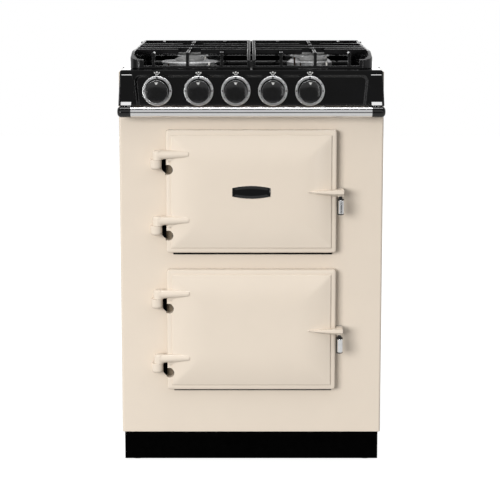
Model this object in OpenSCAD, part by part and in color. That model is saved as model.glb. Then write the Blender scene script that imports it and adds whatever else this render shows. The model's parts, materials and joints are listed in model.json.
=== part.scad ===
// Dual fuel range cooker: two side-hung oven doors under a gas hob with four burners.
// The front faces -Y, +Z is up, and the origin is on the floor under the middle of the whole cooker.
// Depths are counted back from the face of the front plate.

/* [Body] */
// Width of the cooker across the front plate
body_w = 597; // [560:1:620]
// Depth from the face of the front plate to the back
body_d = 600; // [560:1:640]
// Height of the enamelled ledge round the hob above the floor
hob_h = 924; // [900:1:940]
// Height of the underside of the front plate and side panels
panel_base = 85; // [80:1:95]
// Distance that the front plate reaches up behind the fascia
fascia_lap = 3; // [2:0.5:5]
// Thickness of the cast front plate
front_t = 12; // [8:0.5:14]
// Radius of the front plate's upright edges
front_edge_r = 5; // [2:0.5:7]
// Thickness of the steel side and rear panels
sheet_t = 2; // [1:0.5:3]

/* [Base] */
// Height of the steel base frame
base_frame_h = 13; // [10:1:16]
// Distance that the base frame is set back from the front plate's face
base_setback = 4; // [2:1:10]
// Distance that the base frame's front is set in from each side, ahead of the plinth
base_nose_in = 6.5; // [0:0.5:8]
// Width of the base frame's rails
base_rail_w = 50; // [44:1:56]
// Distance that the plinth is set back from the front plate's face
plinth_recess = 60; // [40:1:70]
// Gap between the plinth and the floor
plinth_gap = 3; // [1:1:6]
// Thickness of the plinth board
plinth_t = 3; // [2:0.5:5]
// Distance that the plinth is set in from each side
plinth_inset = 1; // [0:0.5:5]
// Diameter of a levelling foot's pad
foot_d = 40; // [30:1:50]
// Height of a levelling foot's pad
foot_h = 10; // [6:1:14]
// Diameter of a levelling foot's stem
foot_stem_d = 12; // [8:1:16]
// Distance between a foot's axis and the side of the body
foot_in = 30; // [26:1:34]

/* [Ovens] */
// Width of both oven doors
door_w = 385; // [370:1:390]
// Height of both oven doors
door_h = 280; // [270:1:284]
// Distance of the upper door's middle below the hob
upper_door_drop = 274; // [268:1:276]
// Distance of the lower door's middle below the hob
lower_door_drop = 593; // [590:1:596]
// Distance that a door overlaps the oven's mouth on each side
door_lap = 27; // [24:1:30]
// Depth of an oven's inside behind the front plate
oven_d = 428; // [380:1:440]
// Thickness of the oven liner
liner_t = 2; // [1:0.5:3]
// Width of the liner's flange behind the front plate
liner_flange = 15; // [10:1:20]
// Thickness of the insulation jacket
jacket_t = 38; // [25:1:39]
// Width of a shelf runner
runner_w = 8; // [6:1:12]
// Thickness of a shelf runner
runner_t = 4; // [3:1:6]
// Thickness of a shelf's side rail
shelf_rail = 6; // [5:1:8]
// Diameter of a shelf's cross rods
shelf_rod_d = 4; // [3:0.5:5]
// Number of cross rods in a shelf
shelf_rods = 11; // [7:1:15]
// Diameter of a heating element's rod
element_d = 8; // [6:0.5:10]

/* [Doors] */
// Thickness of a door's flat rim
rim_t = 18; // [14:1:20]
// Width of the flat rim round the domed part
rim_w = 11; // [8:1:14]
// Height of the domed part above the rim
dome_h = 13; // [8:1:16]
// Width of the sloping border of the domed part
dome_slope_w = 74; // [60:1:90]
// Space between the back of a door and the front plate
door_gap = 4; // [3:0.5:6]
// Width of the door seal
seal_w = 10; // [8:1:12]
// Distance that a door's inner pan reaches into the oven's mouth
pan_reach = 14; // [8:1:18]
// Clearance between a door's inner pan and the oven's mouth
pan_clear = 10; // [6:1:13]
// Distance of the hinge axis outside the door's edge
hinge_out = 18.5; // [16:0.5:20]
// Distance of the hinge axis in front of the front plate
hinge_fwd = 22; // [20:0.5:25]
// Height of the upper hinge lug above the door's middle
upper_lug_z = 84; // [70:1:90]
// Height of the lower hinge lug below the door's middle
lower_lug_z = 66; // [60:1:75]
// Height of a hinge lug
lug_h = 21; // [18:1:24]
// Diameter of a hinge knuckle
knuckle_d = 24; // [20:1:26]
// Diameter of a hinge pin
pin_d = 9; // [7:0.5:11]
// Height of the fixed boss under a hinge lug
boss_h = 22; // [18:1:26]
// Diameter of the fixed boss under a hinge lug
boss_d = 26; // [24:1:28]
// Distance of a boss's middle from its pin, away from the door
boss_shift = 4; // [0:0.5:5]
// Distance that a hinge lug reaches over the door
lug_reach = 44; // [36:1:60]
// Length of the catch arm over the door
catch_reach = 72; // [50:1:80]
// Distance that the catch arm stands out past the door's edge
catch_out = 16; // [14:1:20]
// Height of the catch arm
catch_h = 20; // [14:1:22]
// Diameter of the barrel handle
handle_d = 16; // [12:1:17]
// Length of the barrel handle
handle_l = 37; // [30:1:50]
// Length of the stem between the catch arm and the barrel handle
handle_stem = 4; // [3:1:8]
// Width of the blank badge plate
badge_w = 86; // [60:1:100]
// Height of the blank badge plate
badge_h = 28; // [20:1:34]
// Thickness of the blank badge plate
badge_t = 3; // [2:0.5:5]
// Height of the badge above the door's middle
badge_up = 1; // [0:1:20]

/* [Fascia] */
// Height of the fascia
fascia_h = 81; // [79:0.5:82]
// Distance that the fascia stands in front of the front plate
fascia_fwd = 16; // [14:1:20]
// Thickness of the fascia's front wall
fascia_wall = 6; // [4:0.5:7]
// Depth of the recess in the middle of the fascia
recess_d = 3.5; // [2:0.5:4]
// Width of each end cap of the fascia
cap_w = 43; // [30:1:46]
// Height of the band above the recess
band_h = 12; // [8:1:16]
// Amount that each end of the fascia leans in towards the top
fascia_draft = 4.5; // [0:0.5:6]
// Depth of the ledge from the front plate's face to the hob
ledge_d = 80; // [70:1:90]
// Thickness of the ledge and of the hob's flange
ledge_t = 6; // [4:1:8]
// Distance of the handrail's axis in front of the front plate
rail_fwd = 42; // [38:1:50]
// Distance of the handrail's axis below the fascia
rail_drop = 10; // [9:1:18]
// Diameter of the handrail
rail_d = 25; // [20:1:26]
// Wall thickness of the handrail
rail_wall = 2; // [1:0.5:3]
// Width of each handrail bracket
rail_bracket_w = 30; // [20:1:40]

/* [Knobs] */
// Distance of the knobs' axes below the hob
knob_drop = 46.5; // [44:0.5:48]
// Distance of the oven knob's axis from the left side
oven_knob_in = 87.5; // [84:0.5:92]
// Distance between the oven knob and the first gas knob
oven_knob_gap = 93; // [86:1:98]
// Distance between two gas knobs
knob_pitch = 83; // [76:1:86]
// Diameter of a knob's cap
knob_d = 50; // [40:1:52]
// Length of a knob in front of the fascia
knob_l = 38; // [28:1:42]
// Distance that a gas knob can be pushed in
knob_travel = 3; // [2:0.5:4]
// Outer diameter of a knob's bezel ring
bezel_d = 67; // [62:1:70]
// Height of a bezel ring
bezel_h = 8; // [5:1:10]
// Diameter of a knob's spindle
spindle_d = 8; // [6:0.5:10]
// Diameter of a tap's sprung plunger
plunger_d = 14; // [12:0.5:16]
// Width of a gas tap's body and of the manifold
tap_w = 24; // [22:1:26]
// Length of a gas tap's body
tap_l = 32; // [28:1:36]
// Width of the thermostat's body
thermostat_w = 40; // [30:1:50]

/* [Hob] */
// Depth of the spill well below the ledge
well_d = 16; // [10:1:18]
// Width of the hob's flange at each side of the well
well_side = 32; // [30:1:36]
// Width of the hob's flange in front of and behind the well
well_rim = 8; // [6:1:14]
// Corner radius of the spill well
well_r = 20; // [10:1:30]
// Thickness of the hob's pressed sheet
hob_sheet = 2; // [1:0.5:3]
// Distance of each burner from the middle
burner_x = 144; // [140:1:148]
// Depth of the front burners
front_burner_d = 160; // [157:1:166]
// Depth of the rear burners
rear_burner_d = 395; // [385:1:405]
// Diameter of the wok burner's skirt
wok_skirt_d = 137; // [120:1:140]
// Diameter of the small burner's skirt
small_skirt_d = 86; // [80:1:92]
// Diameter of the medium burner's skirt
medium_skirt_d = 90; // [84:1:96]
// Diameter of the large burner's skirt
large_skirt_d = 111; // [100:1:116]
// Height of a burner's head above the spill well
head_h = 26; // [22:1:27]
// Thickness of a burner's cap
cap_t = 8; // [5:1:9]
// Diameter of the burner cups under the hob
cup_d = 60; // [50:1:66]
// Height of the burner cups under the hob
cup_h = 34; // [30:1:40]
// Diameter of the burner feed pipes
feed_d = 8; // [6:1:10]
// Diameter of an igniter or a flame sensor
igniter_d = 4; // [3:0.5:5]
// Depth of the upstand at the back of the hob
upstand_d = 44; // [36:1:48]
// Height of the upstand above the hob
upstand_h = 33; // [24:1:35]
// Distance that the upstand is set in from each side
upstand_inset = 12; // [8:1:20]

/* [Pan supports] */
// Height of the pan supports above the ledge
support_h = 37; // [34:1:40]
// Thickness of a pan support's bars
bar_t = 7; // [5:0.5:8]
// Height of a pan support's bars
bar_h = 12; // [8:1:12]
// Distance of a pan support's outer side from the middle
support_x = 274; // [270:1:278]
// Depth of a pan support's front
support_front = 20; // [14:1:24]
// Distance between the pan supports' back and the upstand
support_back_gap = 7; // [5:1:10]
// Gap between the two pan supports
support_split = 5; // [3:1:8]
// Height of a pan support's low front rail
low_rail_h = 7; // [5:1:9]
// Distance of the outer fingers from the burner's middle
finger_x = 77; // [72:1:80]
// Space that the fingers leave open over the middle of a burner
finger_open = 26; // [20:1:34]
// Depth of the two cross bars from a point midway between the burners
cross_bar_half = 45; // [36:1:52]

/* [Services] */
// Outside diameter of the gas inlet's threaded end
gas_inlet_d = 20.96; // [20.5:0.01:21.5]
// Length of the gas inlet's threaded end
gas_inlet_l = 25; // [20:1:30]
// Thickness of the gas inlet's collar and its seat
inlet_seat = 3; // [2:0.5:5]
// Distance of the gas inlet's axis from the right side
gas_inlet_in = 36.5; // [32:0.5:42]
// Bore of the cable gland
gland_bore_d = 12; // [8:1:14]
// Length of the cable gland
gland_l = 20; // [16:1:24]
// Depth of the terminal box in front of the rear panel
terminal_depth = 35; // [25:1:50]
// Distance between the two stability bracket holes
tether_pitch = 200; // [160:1:240]
// Diameter of a stability bracket hole
tether_hole_d = 6.6; // [5:0.1:8]

/* [Clearances] */
// Gap between faces that part or slide past each other
part_gap = 0.3; // [0.2:0.05:0.5]
// Radial clearance of a pin or spindle that turns in a bore
run_clear = 0.05; // [0.03:0.01:0.08]

/* [Hidden] */
$fn = 64;

// Half widths and the depth of the origin
half_w = body_w / 2;
hob_half_w = half_w - fascia_draft;
front_y = (rail_fwd + rail_d / 2 - body_d) / 2;

// Heights that hang from the hob
fascia_base = hob_h - fascia_h;
panel_top = fascia_base + fascia_lap;
rail_z = fascia_base - rail_drop;
knob_z = hob_h - knob_drop;
upper_door_z = hob_h - upper_door_drop;
lower_door_z = hob_h - lower_door_drop;

// Base and casing
base_low = panel_base - base_frame_h;
casing_top = hob_h - ledge_t;
inner_half_w = half_w - sheet_t;
rear_panel_back = body_d - gas_inlet_l - inlet_seat;
rear_panel_d = rear_panel_back - sheet_t;
foot_x = half_w - foot_in;
foot_clear = 5;
front_foot_d = plinth_recess + plinth_t + foot_d / 2 + foot_clear;
rear_foot_d = body_d - foot_in;
side_lip = 14;

// Ovens
mouth_half_w = door_w / 2 - door_lap;
mouth_half_h = door_h / 2 - door_lap;
oven_back = front_t + oven_d;
runner_pitch = 60;
runner_levels = [-runner_pitch, 0, runner_pitch];
runner_front = 36;
shelf_play = 1;
element_inset = 14;
element_plate_h = 24;
element_rows = [-120, -40, 40, 120];

// Doors
rim_front = -(door_gap + rim_t);
dome_front = rim_front - dome_h;
hinge_x = -(door_w / 2 + hinge_out);
door_pan_t = 2;
seal_in = 4;
dome_steps = 10;
handle_x = door_w / 2 + catch_out / 2;
handle_axis_d = dome_front - 3;
tongue_d = -14.5;
lug_edge = 8;
catch_bend = 7;
catch_tip = 13;
badge_bow = 5;

// Fascia and knobs
oven_knob_x = oven_knob_in - half_w;
gas_knob_x = oven_knob_x + oven_knob_gap;
recess_draft = 6;
recess_face = recess_d - fascia_fwd;
fascia_back = recess_face + fascia_wall;
gas_knobs = [0, 1, 2, 3];
knob_gap = 1;
tap_gap = 4;
spindle_reach = 12;
plunger_reach = 10;
tap_bore = 18;
thermostat_short = 3;
knob_back = recess_face - knob_travel - knob_gap;
knob_front = recess_face - knob_l;
tap_front = fascia_back + tap_gap;
tap_back = tap_front + tap_l;
manifold_back = tap_back + tap_w;
spindle_end = tap_front + spindle_reach;
plunger_end = tap_front + plunger_reach;
tap_bore_end = tap_front + tap_bore;
plunger_front = fascia_back + knob_gap + knob_travel / 4;
knob_edge = 3;
bezel_play = 1;
spindle_gap = 2;
manifold_wall = 4;
bracket_relief = 3.5;
bracket_nose_r = 9;
bracket_rise = 11;

// Hob
well_floor = hob_h - well_d;
well_half_w = hob_half_w - well_side;
well_front = ledge_d + well_rim;
support_back = body_d - upstand_d - support_back_gap;
well_back = support_back - 8;
cup_low = well_floor - hob_sheet - cup_h;
feed_z = cup_low + cup_h / 4;
feed_block = 20;
front_feed_end = front_burner_d - cup_d / 2 - 4;
rear_feed_x = burner_x - cup_d / 2 - 6;
cap_inset = 9.5;
pin_angle = 40;
igniter_drop = 2;
sensor_drop = 4;
vent_slots = 14;
vent_share = 0.6;
// Each burner has its place across, its depth and its skirt's diameter
BURNERS = [
    [-burner_x, front_burner_d, wok_skirt_d],
    [burner_x, front_burner_d, small_skirt_d],
    [-burner_x, rear_burner_d, medium_skirt_d],
    [burner_x, rear_burner_d, large_skirt_d]
];

// Pan supports
support_low = hob_h + part_gap;
support_top = hob_h + support_h;
support_nose_h = 20;
support_step = 22;
support_rise = 5;
support_slope = 83;
support_corner_r = 26;
support_corner_w = 31;
corner_web_w = 22;
corner_web_d = 51;
corner_web_foot = 16;
corner_web_lift = 3;
corner_finger_front = 42;
corner_finger_back = 49;

// Services
gas_inlet_x = half_w - gas_inlet_in;
tether_drop = 424;
tether_z = hob_h - tether_drop;
screw_d = 8;
screw_h = 3;
screw_in = 12;
screw_rise = 25;
screw_fall = 148;
screw_low = panel_base + screw_rise;
screw_high = casing_top - screw_fall;
screw_rows = [for (i = [0 : 3]) screw_low + i * (screw_high - screw_low) / 3];
gland_wall = 4;
terminal_in = 48.5;
terminal_w = 90;
terminal_h = 60;
terminal_drop = 164;
terminal_x = [terminal_in - half_w, terminal_in + terminal_w - half_w];
terminal_z = [hob_h - terminal_drop - terminal_h, hob_h - terminal_drop];
terminal_wall = 3;
gland_x = (terminal_x[0] + terminal_x[1]) / 2;
gland_z = (terminal_z[0] + terminal_z[1]) / 2;
gland_hole_d = gland_bore_d + 1;
inlet_pipe_d = 20;
inlet_hole_d = 26;
inlet_collar_d = 30;

function dep(d) = front_y + d;
function knob_x(i) = gas_knob_x + i * knob_pitch;
// Height of the dome at a distance in from the rim's inner edge
function dome(u) = dome_h * (1 - pow(1 - min(u / dome_slope_w, 1), 2));

// A box between two places across, two depths and two heights
module block(x0, x1, d0, d1, z0, z1) {
    translate([x0, dep(d0), z0]) cube([x1 - x0, d1 - d0, z1 - z0]);
}

// Round bars along Z, X and Y
module upright(x, d, z0, z1, dia) {
    translate([x, dep(d), z0]) cylinder(d = dia, h = z1 - z0);
}
module across(x0, x1, d, z, dia) {
    translate([x0, dep(d), z]) rotate([0, 90, 0]) cylinder(d = dia, h = x1 - x0);
}
module inward(x, d0, d1, z, dia) {
    translate([x, dep(d0), z]) rotate([-90, 0, 0]) cylinder(d = dia, h = d1 - d0);
}

// A slab with rounded corners in plan
module round_slab(x, d0, d1, z0, z1, r) {
    translate([0, 0, z0]) linear_extrude(z1 - z0) {
        translate([-x, dep(d0 + r)]) square([2 * x, d1 - d0 - 2 * r]);
        translate([r - x, dep(d0)]) square([2 * (x - r), d1 - d0]);
        for (sx = [-1, 1], d = [d0 + r, d1 - r]) translate([sx * (x - r), dep(d)]) circle(r);
    }
}

// A profile drawn in depth and height, extruded across from x0 to x1
module side_profile(x0, x1) {
    translate([x0, front_y, 0]) rotate([90, 0, 90]) linear_extrude(x1 - x0) children();
}

// A profile drawn across and in height, extruded forward from depth d by t
module front_profile(d, t) {
    translate([0, dep(d), 0]) rotate([90, 0, 0]) linear_extrude(t) children();
}

module base_frame() {
    color("dimgray") difference() {
        block(-half_w, half_w, base_setback, body_d, base_low, panel_base);
        block(base_rail_w - half_w, half_w - base_rail_w, base_setback + base_rail_w,
            body_d - base_rail_w, base_low - 1, panel_base + 1);
        for (x = [-half_w - 1, half_w - base_nose_in])
            block(x, x + base_nose_in + 1, base_setback - 1, plinth_recess, base_low - 1, panel_base + 1);
    }
}

module levelling_feet() {
    color("black") for (x = [-foot_x, foot_x], d = [front_foot_d, rear_foot_d]) {
        upright(x, d, 0, foot_h, foot_d);
        upright(x, d, foot_h, base_low, foot_stem_d);
    }
}

module plinth() {
    x = half_w - plinth_inset;
    color("black") difference() {
        block(-x, x, plinth_recess, body_d, plinth_gap, base_low);
        block(plinth_t - x, x - plinth_t, plinth_recess + plinth_t, body_d + 1, 0, base_low + 1);
    }
}

module front_plate() {
    r = front_edge_r;
    color("antiquewhite") difference() {
        translate([0, 0, panel_base]) linear_extrude(panel_top - panel_base) {
            translate([-half_w, dep(r)]) square([body_w, front_t - r]);
            translate([r - half_w, dep(0)]) square([body_w - 2 * r, front_t]);
            for (sx = [-1, 1]) translate([sx * (half_w - r), dep(r)]) circle(r);
        }
        for (z = [upper_door_z, lower_door_z])
            block(-mouth_half_w, mouth_half_w, -1, front_t + 1, z - mouth_half_h, z + mouth_half_h);
    }
}

module side_panel() {
    block(inner_half_w, half_w, front_t, body_d, panel_base, casing_top);
    block(half_w - side_lip, inner_half_w, front_t, rear_panel_d, casing_top - sheet_t, casing_top);
}
module right_side_panel() {
    color("antiquewhite") side_panel();
}
module left_side_panel() {
    color("antiquewhite") mirror([1, 0, 0]) side_panel();
}

module rear_panel() {
    color("silver") difference() {
        block(-inner_half_w, inner_half_w, rear_panel_d, rear_panel_back, panel_base, casing_top);
        inward(gas_inlet_x, rear_panel_d - 1, rear_panel_back + 1, knob_z, inlet_hole_d);
        inward(gland_x, rear_panel_d - 1, rear_panel_back + 1, gland_z, gland_hole_d);
        for (sx = [-1, 1])
            inward(sx * tether_pitch / 2, rear_panel_d - 1, rear_panel_back + 1, tether_z, tether_hole_d);
    }
}

module rear_upstand() {
    x = hob_half_w - upstand_inset;
    d = body_d - upstand_d;
    z = hob_h + upstand_h;
    slot_pitch = 2 * x / vent_slots;
    slot_edge = (1 - vent_share) / 2;
    color("black") difference() {
        block(-x, x, d, body_d, hob_h, z);
        block(hob_sheet - x, x - hob_sheet, d + hob_sheet, body_d - hob_sheet, hob_h - 1, z - hob_sheet);
        for (i = [0 : vent_slots - 1])
            block((i + slot_edge) * slot_pitch - x, (i + 1 - slot_edge) * slot_pitch - x,
                d + upstand_d / 3, d + upstand_d / 3 * 2, z - hob_sheet - 1, z + 1);
    }
}

module hob_top() {
    color("black") difference() {
        union() {
            block(-hob_half_w, hob_half_w, ledge_d, body_d, casing_top, hob_h);
            round_slab(well_half_w + hob_sheet, well_front - hob_sheet, well_back + hob_sheet,
                well_floor - hob_sheet, casing_top + 1, well_r + hob_sheet);
        }
        round_slab(well_half_w, well_front, well_back, well_floor, hob_h + 1, well_r);
        for (b = BURNERS)
            upright(b[0], b[1], well_floor - hob_sheet - 1, well_floor + 1, cup_d - feed_block);
    }
}

module control_fascia() {
    recess_x = half_w - cap_w;
    color("black") difference() {
        union() {
            front_profile(fascia_back, fascia_fwd + fascia_back) polygon([
                [-half_w, fascia_base], [half_w, fascia_base],
                [hob_half_w, hob_h], [-hob_half_w, hob_h]
            ]);
            block(-hob_half_w, hob_half_w, fascia_back - 1, ledge_d, casing_top, hob_h);
            block(-hob_half_w, hob_half_w, fascia_back - 1, 0, fascia_base, panel_top);
            for (x = [-hob_half_w, hob_half_w - ledge_t])
                block(x, x + ledge_t, fascia_back - 1, front_t, panel_top, casing_top + 1);
        }
        front_profile(recess_face, fascia_fwd) polygon([
            [recess_draft - recess_x, fascia_base - 1], [recess_x - recess_draft, fascia_base - 1],
            [recess_x, hob_h - band_h], [-recess_x, hob_h - band_h]
        ]);
        for (i = gas_knobs)
            inward(knob_x(i), recess_face - 1, fascia_back + 1, knob_z, spindle_d + 2 * spindle_gap);
        inward(oven_knob_x, recess_face - 1, fascia_back + 1, knob_z, spindle_d + 2 * spindle_gap);
    }
}

module handrail_tube() {
    x = half_w - rail_bracket_w;
    color("silver") difference() {
        across(-x, x, -rail_fwd, rail_z, rail_d);
        across(-x - 1, x + 1, -rail_fwd, rail_z, rail_d - 2 * rail_wall);
    }
}

// The right-hand bracket: a round-ended head on an arm that rises to the fascia
module handrail_bracket() {
    r = rail_d / 2;
    nose = bracket_nose_r;
    translate([half_w - rail_bracket_w, dep(-rail_fwd), rail_z]) rotate([0, 90, 0]) rotate_extrude() {
        square([r, rail_bracket_w - nose]);
        square([r - nose, rail_bracket_w]);
        intersection() {
            translate([r - nose, rail_bracket_w - nose]) circle(nose);
            square([r, rail_bracket_w]);
        }
    }
    side_profile(half_w - rail_bracket_w, half_w - bracket_nose_r) polygon([
        [-rail_fwd, rail_z - r + bracket_relief], [0, rail_z - r + bracket_relief], [0, fascia_base],
        [-fascia_fwd, fascia_base], [-fascia_fwd, fascia_base + bracket_rise], [-rail_fwd, rail_z + r - 1]
    ]);
}
module handrail_brackets() {
    color("black") {
        handrail_bracket();
        mirror([1, 0, 0]) handrail_bracket();
    }
}

// An oven's liner round a mouth whose middle is at height z
module oven_liner(z) {
    x = mouth_half_w;
    h = mouth_half_h;
    difference() {
        union() {
            block(-x - liner_t, x + liner_t, front_t, oven_back + liner_t, z - h - liner_t, z + h + liner_t);
            block(-x - liner_flange, x + liner_flange, front_t, front_t + liner_t,
                z - h - liner_flange, z + h + liner_flange);
        }
        block(-x, x, front_t - 1, oven_back, z - h, z + h);
    }
    for (level = runner_levels, s = [-1, 1])
        block(s > 0 ? x - runner_w : -x - 1, s > 0 ? x + 1 : runner_w - x, runner_front, oven_back + 1,
            z + level - runner_t, z + level);
}
module upper_oven_liner() {
    color("dimgray") oven_liner(upper_door_z);
}
module lower_oven_liner() {
    color("dimgray") oven_liner(lower_door_z);
}

module insulation(z) {
    x = mouth_half_w + liner_t;
    h = mouth_half_h + liner_t;
    d = oven_back + liner_t;
    color("khaki") difference() {
        block(-x - jacket_t, x + jacket_t, front_t + liner_t, d + jacket_t, z - h - jacket_t, z + h + jacket_t);
        block(-x, x, front_t, d, z - h, z + h);
    }
}
module upper_insulation() {
    insulation(upper_door_z);
}
module lower_insulation() {
    insulation(lower_door_z);
}

// A heating element of four rods at height z, held by a plate on the oven's back
module element(z) {
    d0 = runner_front + element_inset;
    d1 = oven_back - liner_t;
    for (x = element_rows) inward(x, d0, d1 + 1, z, element_d);
    for (i = [0, 2]) across(element_rows[i], element_rows[i + 1], d0, z, element_d);
    for (x = element_rows) translate([x, dep(d0), z]) sphere(d = element_d);
    block(element_rows[0] - element_d, element_rows[3] + element_d, d1, oven_back,
        z - element_plate_h / 2, z + element_plate_h / 2);
}
module upper_oven_elements() {
    color("darkslategray") for (s = [-1, 1]) element(upper_door_z + s * (mouth_half_h - element_inset));
}
module lower_oven_element() {
    color("darkslategray") element(lower_door_z - mouth_half_h + element_inset);
}

// A wire shelf resting on the runners at height z
module shelf(z) {
    x = mouth_half_w - shelf_play;
    d0 = runner_front;
    d1 = oven_back - element_inset;
    rods_x = x - shelf_rail;
    difference() {
        block(-x, x, d0, d1, z, z + shelf_rail);
        block(-rods_x, rods_x, d0 + shelf_rail, d1 - shelf_rail, z - 1, z + shelf_rail + 1);
    }
    for (i = [1 : shelf_rods])
        inward(2 * rods_x * i / (shelf_rods + 1) - rods_x, d0 + shelf_rail / 2, d1 - shelf_rail / 2,
            z + shelf_rail / 2, shelf_rod_d);
}
module upper_oven_shelves() {
    color("silver") for (i = [0, 1]) shelf(upper_door_z + runner_levels[i]);
}
module lower_oven_shelf() {
    color("silver") shelf(lower_door_z + runner_levels[0]);
}

module oven_thermostat() {
    w = thermostat_w / 2;
    color("gray") difference() {
        block(oven_knob_x - w, oven_knob_x + w, fascia_back, tap_back - thermostat_short, knob_z - w, knob_z + w);
        inward(oven_knob_x, fascia_back - 1, tap_bore_end, knob_z, spindle_d + 2 * run_clear);
    }
}

// Heights of the undersides of a door's two hinge lugs
function lug_bottoms(z) = [z + upper_lug_z - lug_h / 2, z - lower_lug_z - lug_h / 2];

module hinge_bosses() {
    color("antiquewhite") for (door = [upper_door_z, lower_door_z], z = lug_bottoms(door)) {
        top = z - part_gap;
        x = hinge_x - boss_shift;
        difference() {
            union() {
                upright(x, -hinge_fwd, top - boss_h, top, boss_d);
                block(x - boss_d / 2, x + boss_d / 2, -hinge_fwd, 0, top - boss_h, top);
            }
            upright(hinge_x, -hinge_fwd, top - boss_h / 2, top + 1, pin_d + 2 * run_clear);
        }
    }
}

module hinge_pins() {
    color("silver") for (door = [upper_door_z, lower_door_z], z = lug_bottoms(door))
        upright(hinge_x, -hinge_fwd, z - part_gap - boss_h / 2, z + lug_h - pin_d / 3, pin_d);
}

module catch_keepers() {
    x = door_w / 2;
    color("silver") for (z = [upper_door_z, lower_door_z])
        block(x + 2, x + catch_out - 1, tongue_d + part_gap, 0, z - catch_h / 3, z + catch_h / 3);
}

module knob_bezel(x) {
    difference() {
        union() {
            inward(x, recess_face - bezel_h / 2, recess_face, knob_z, bezel_d);
            translate([x, dep(recess_face - bezel_h / 2), knob_z]) rotate([90, 0, 0])
                cylinder(d1 = bezel_d, d2 = bezel_d - bezel_h, h = bezel_h / 2);
        }
        inward(x, recess_face - bezel_h - 1, recess_face + 1, knob_z, knob_d + 2 * bezel_play);
    }
}
module knob_bezels() {
    color("silver") {
        knob_bezel(oven_knob_x);
        for (i = gas_knobs) knob_bezel(knob_x(i));
    }
}

// A knob with its spindle
module knob(x) {
    color("black") {
        inward(x, knob_front + knob_edge, knob_back, knob_z, knob_d);
        translate([x, dep(knob_front + knob_edge), knob_z]) rotate([90, 0, 0])
            cylinder(d1 = knob_d, d2 = knob_d - 2 * knob_edge, h = knob_edge);
        inward(x, knob_back - 1, spindle_end, knob_z, spindle_d);
    }
}

module tap_plunger(x) {
    color("gray") difference() {
        inward(x, plunger_front + knob_travel, plunger_end, knob_z, plunger_d);
        inward(x, plunger_front, plunger_end + 1, knob_z, spindle_d + 2 * run_clear);
    }
}

module gas_taps() {
    w = tap_w / 2;
    color("goldenrod") for (i = gas_knobs) difference() {
        block(knob_x(i) - w, knob_x(i) + w, tap_front, tap_back, knob_z - w, knob_z + w);
        inward(knob_x(i), tap_front - 1, tap_bore_end, knob_z, plunger_d + 2 * run_clear);
    }
}

module gas_manifold() {
    w = tap_w / 2;
    bore_d = tap_w - 2 * manifold_wall;
    color("gray") difference() {
        block(-inner_half_w, inner_half_w, tap_back, manifold_back, knob_z - w, knob_z + w);
        across(w - inner_half_w, inner_half_w - w, tap_back + w, knob_z, bore_d);
    }
}

module burner_feed_pipes() {
    color("silver") for (s = [-1, 1]) {
        inward(s * burner_x, manifold_back, front_feed_end, feed_z, feed_d);
        inward(s * rear_feed_x, manifold_back, rear_burner_d - feed_block / 2, feed_z, feed_d);
    }
}

module burner_cups() {
    b = feed_block / 2;
    block_top = feed_z + b;
    color("lightgray") {
        for (u = BURNERS) upright(u[0], u[1], cup_low, well_floor - hob_sheet, cup_d);
        for (s = [-1, 1]) {
            block(s * burner_x - b, s * burner_x + b, front_feed_end, front_burner_d, cup_low, block_top);
            block(min(s * (rear_feed_x - b), s * burner_x), max(s * (rear_feed_x - b), s * burner_x),
                rear_burner_d - b, rear_burner_d + b, cup_low, block_top);
        }
    }
}

// A burner head: a sloping skirt, a ring of flame ports and a top plate
module burner_head(dia) {
    r = dia / 2;
    z = head_h;
    rotate_extrude() polygon([
        [0, 0], [r - 2, 0], [r, z * 0.3], [r - cap_inset - 2, z * 0.66], [r - cap_inset - 5, z * 0.68],
        [r - cap_inset - 5, z * 0.84], [r - cap_inset + 1, z * 0.88], [r - cap_inset + 1, z], [0, z]
    ]);
}

// The wok burner's head has a broad disc over its skirt
module wok_head(dia) {
    r = dia / 2;
    z = head_h;
    rotate_extrude() polygon([
        [0, 0], [r - 4, 0], [r, z * 0.35], [r - 3, z * 0.7], [r - 10, z * 0.72], [r - 10, z * 0.84],
        [r - 2, z * 0.92], [r - 4, z], [0, z]
    ]);
}

module burner_heads() {
    color("silver") for (u = BURNERS) translate([u[0], dep(u[1]), well_floor]) {
        if (u[2] == wok_skirt_d) wok_head(u[2]);
        else burner_head(u[2]);
    }
}

module burner_caps() {
    color("dimgray") for (u = BURNERS) {
        r = u[2] == wok_skirt_d ? small_skirt_d / 2 - cap_inset : u[2] / 2 - cap_inset;
        translate([u[0], dep(u[1]), well_floor + head_h]) rotate_extrude() polygon([
            [0, 0], [r - 2, 0], [r, cap_t * 0.3], [r - 3, cap_t * 0.7], [r * 0.6, cap_t * 0.95], [0, cap_t]
        ]);
    }
}

// Pins that stand in the well beside each burner, at the angle a from the front
module burner_pins(a, h) {
    for (u = BURNERS) {
        reach = u[2] / 2 + igniter_d;
        upright(u[0] + reach * sin(a), u[1] - reach * cos(a), well_floor, well_floor + h, igniter_d);
    }
}
module burner_igniters() {
    color("white") burner_pins(pin_angle, head_h - igniter_drop);
}
module flame_sensors() {
    color("peru") burner_pins(-pin_angle, head_h - sensor_drop);
}

// The gas inlet comes out through the rear panel, behind which its collar sits
module gas_inlet() {
    thread_start = body_d - gas_inlet_l;
    color("goldenrod") {
        inward(gas_inlet_x, manifold_back, thread_start, knob_z, inlet_pipe_d);
        inward(gas_inlet_x, rear_panel_back + part_gap, thread_start, knob_z, inlet_collar_d);
        inward(gas_inlet_x, thread_start - 1, body_d, knob_z, gas_inlet_d);
    }
}

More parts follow.
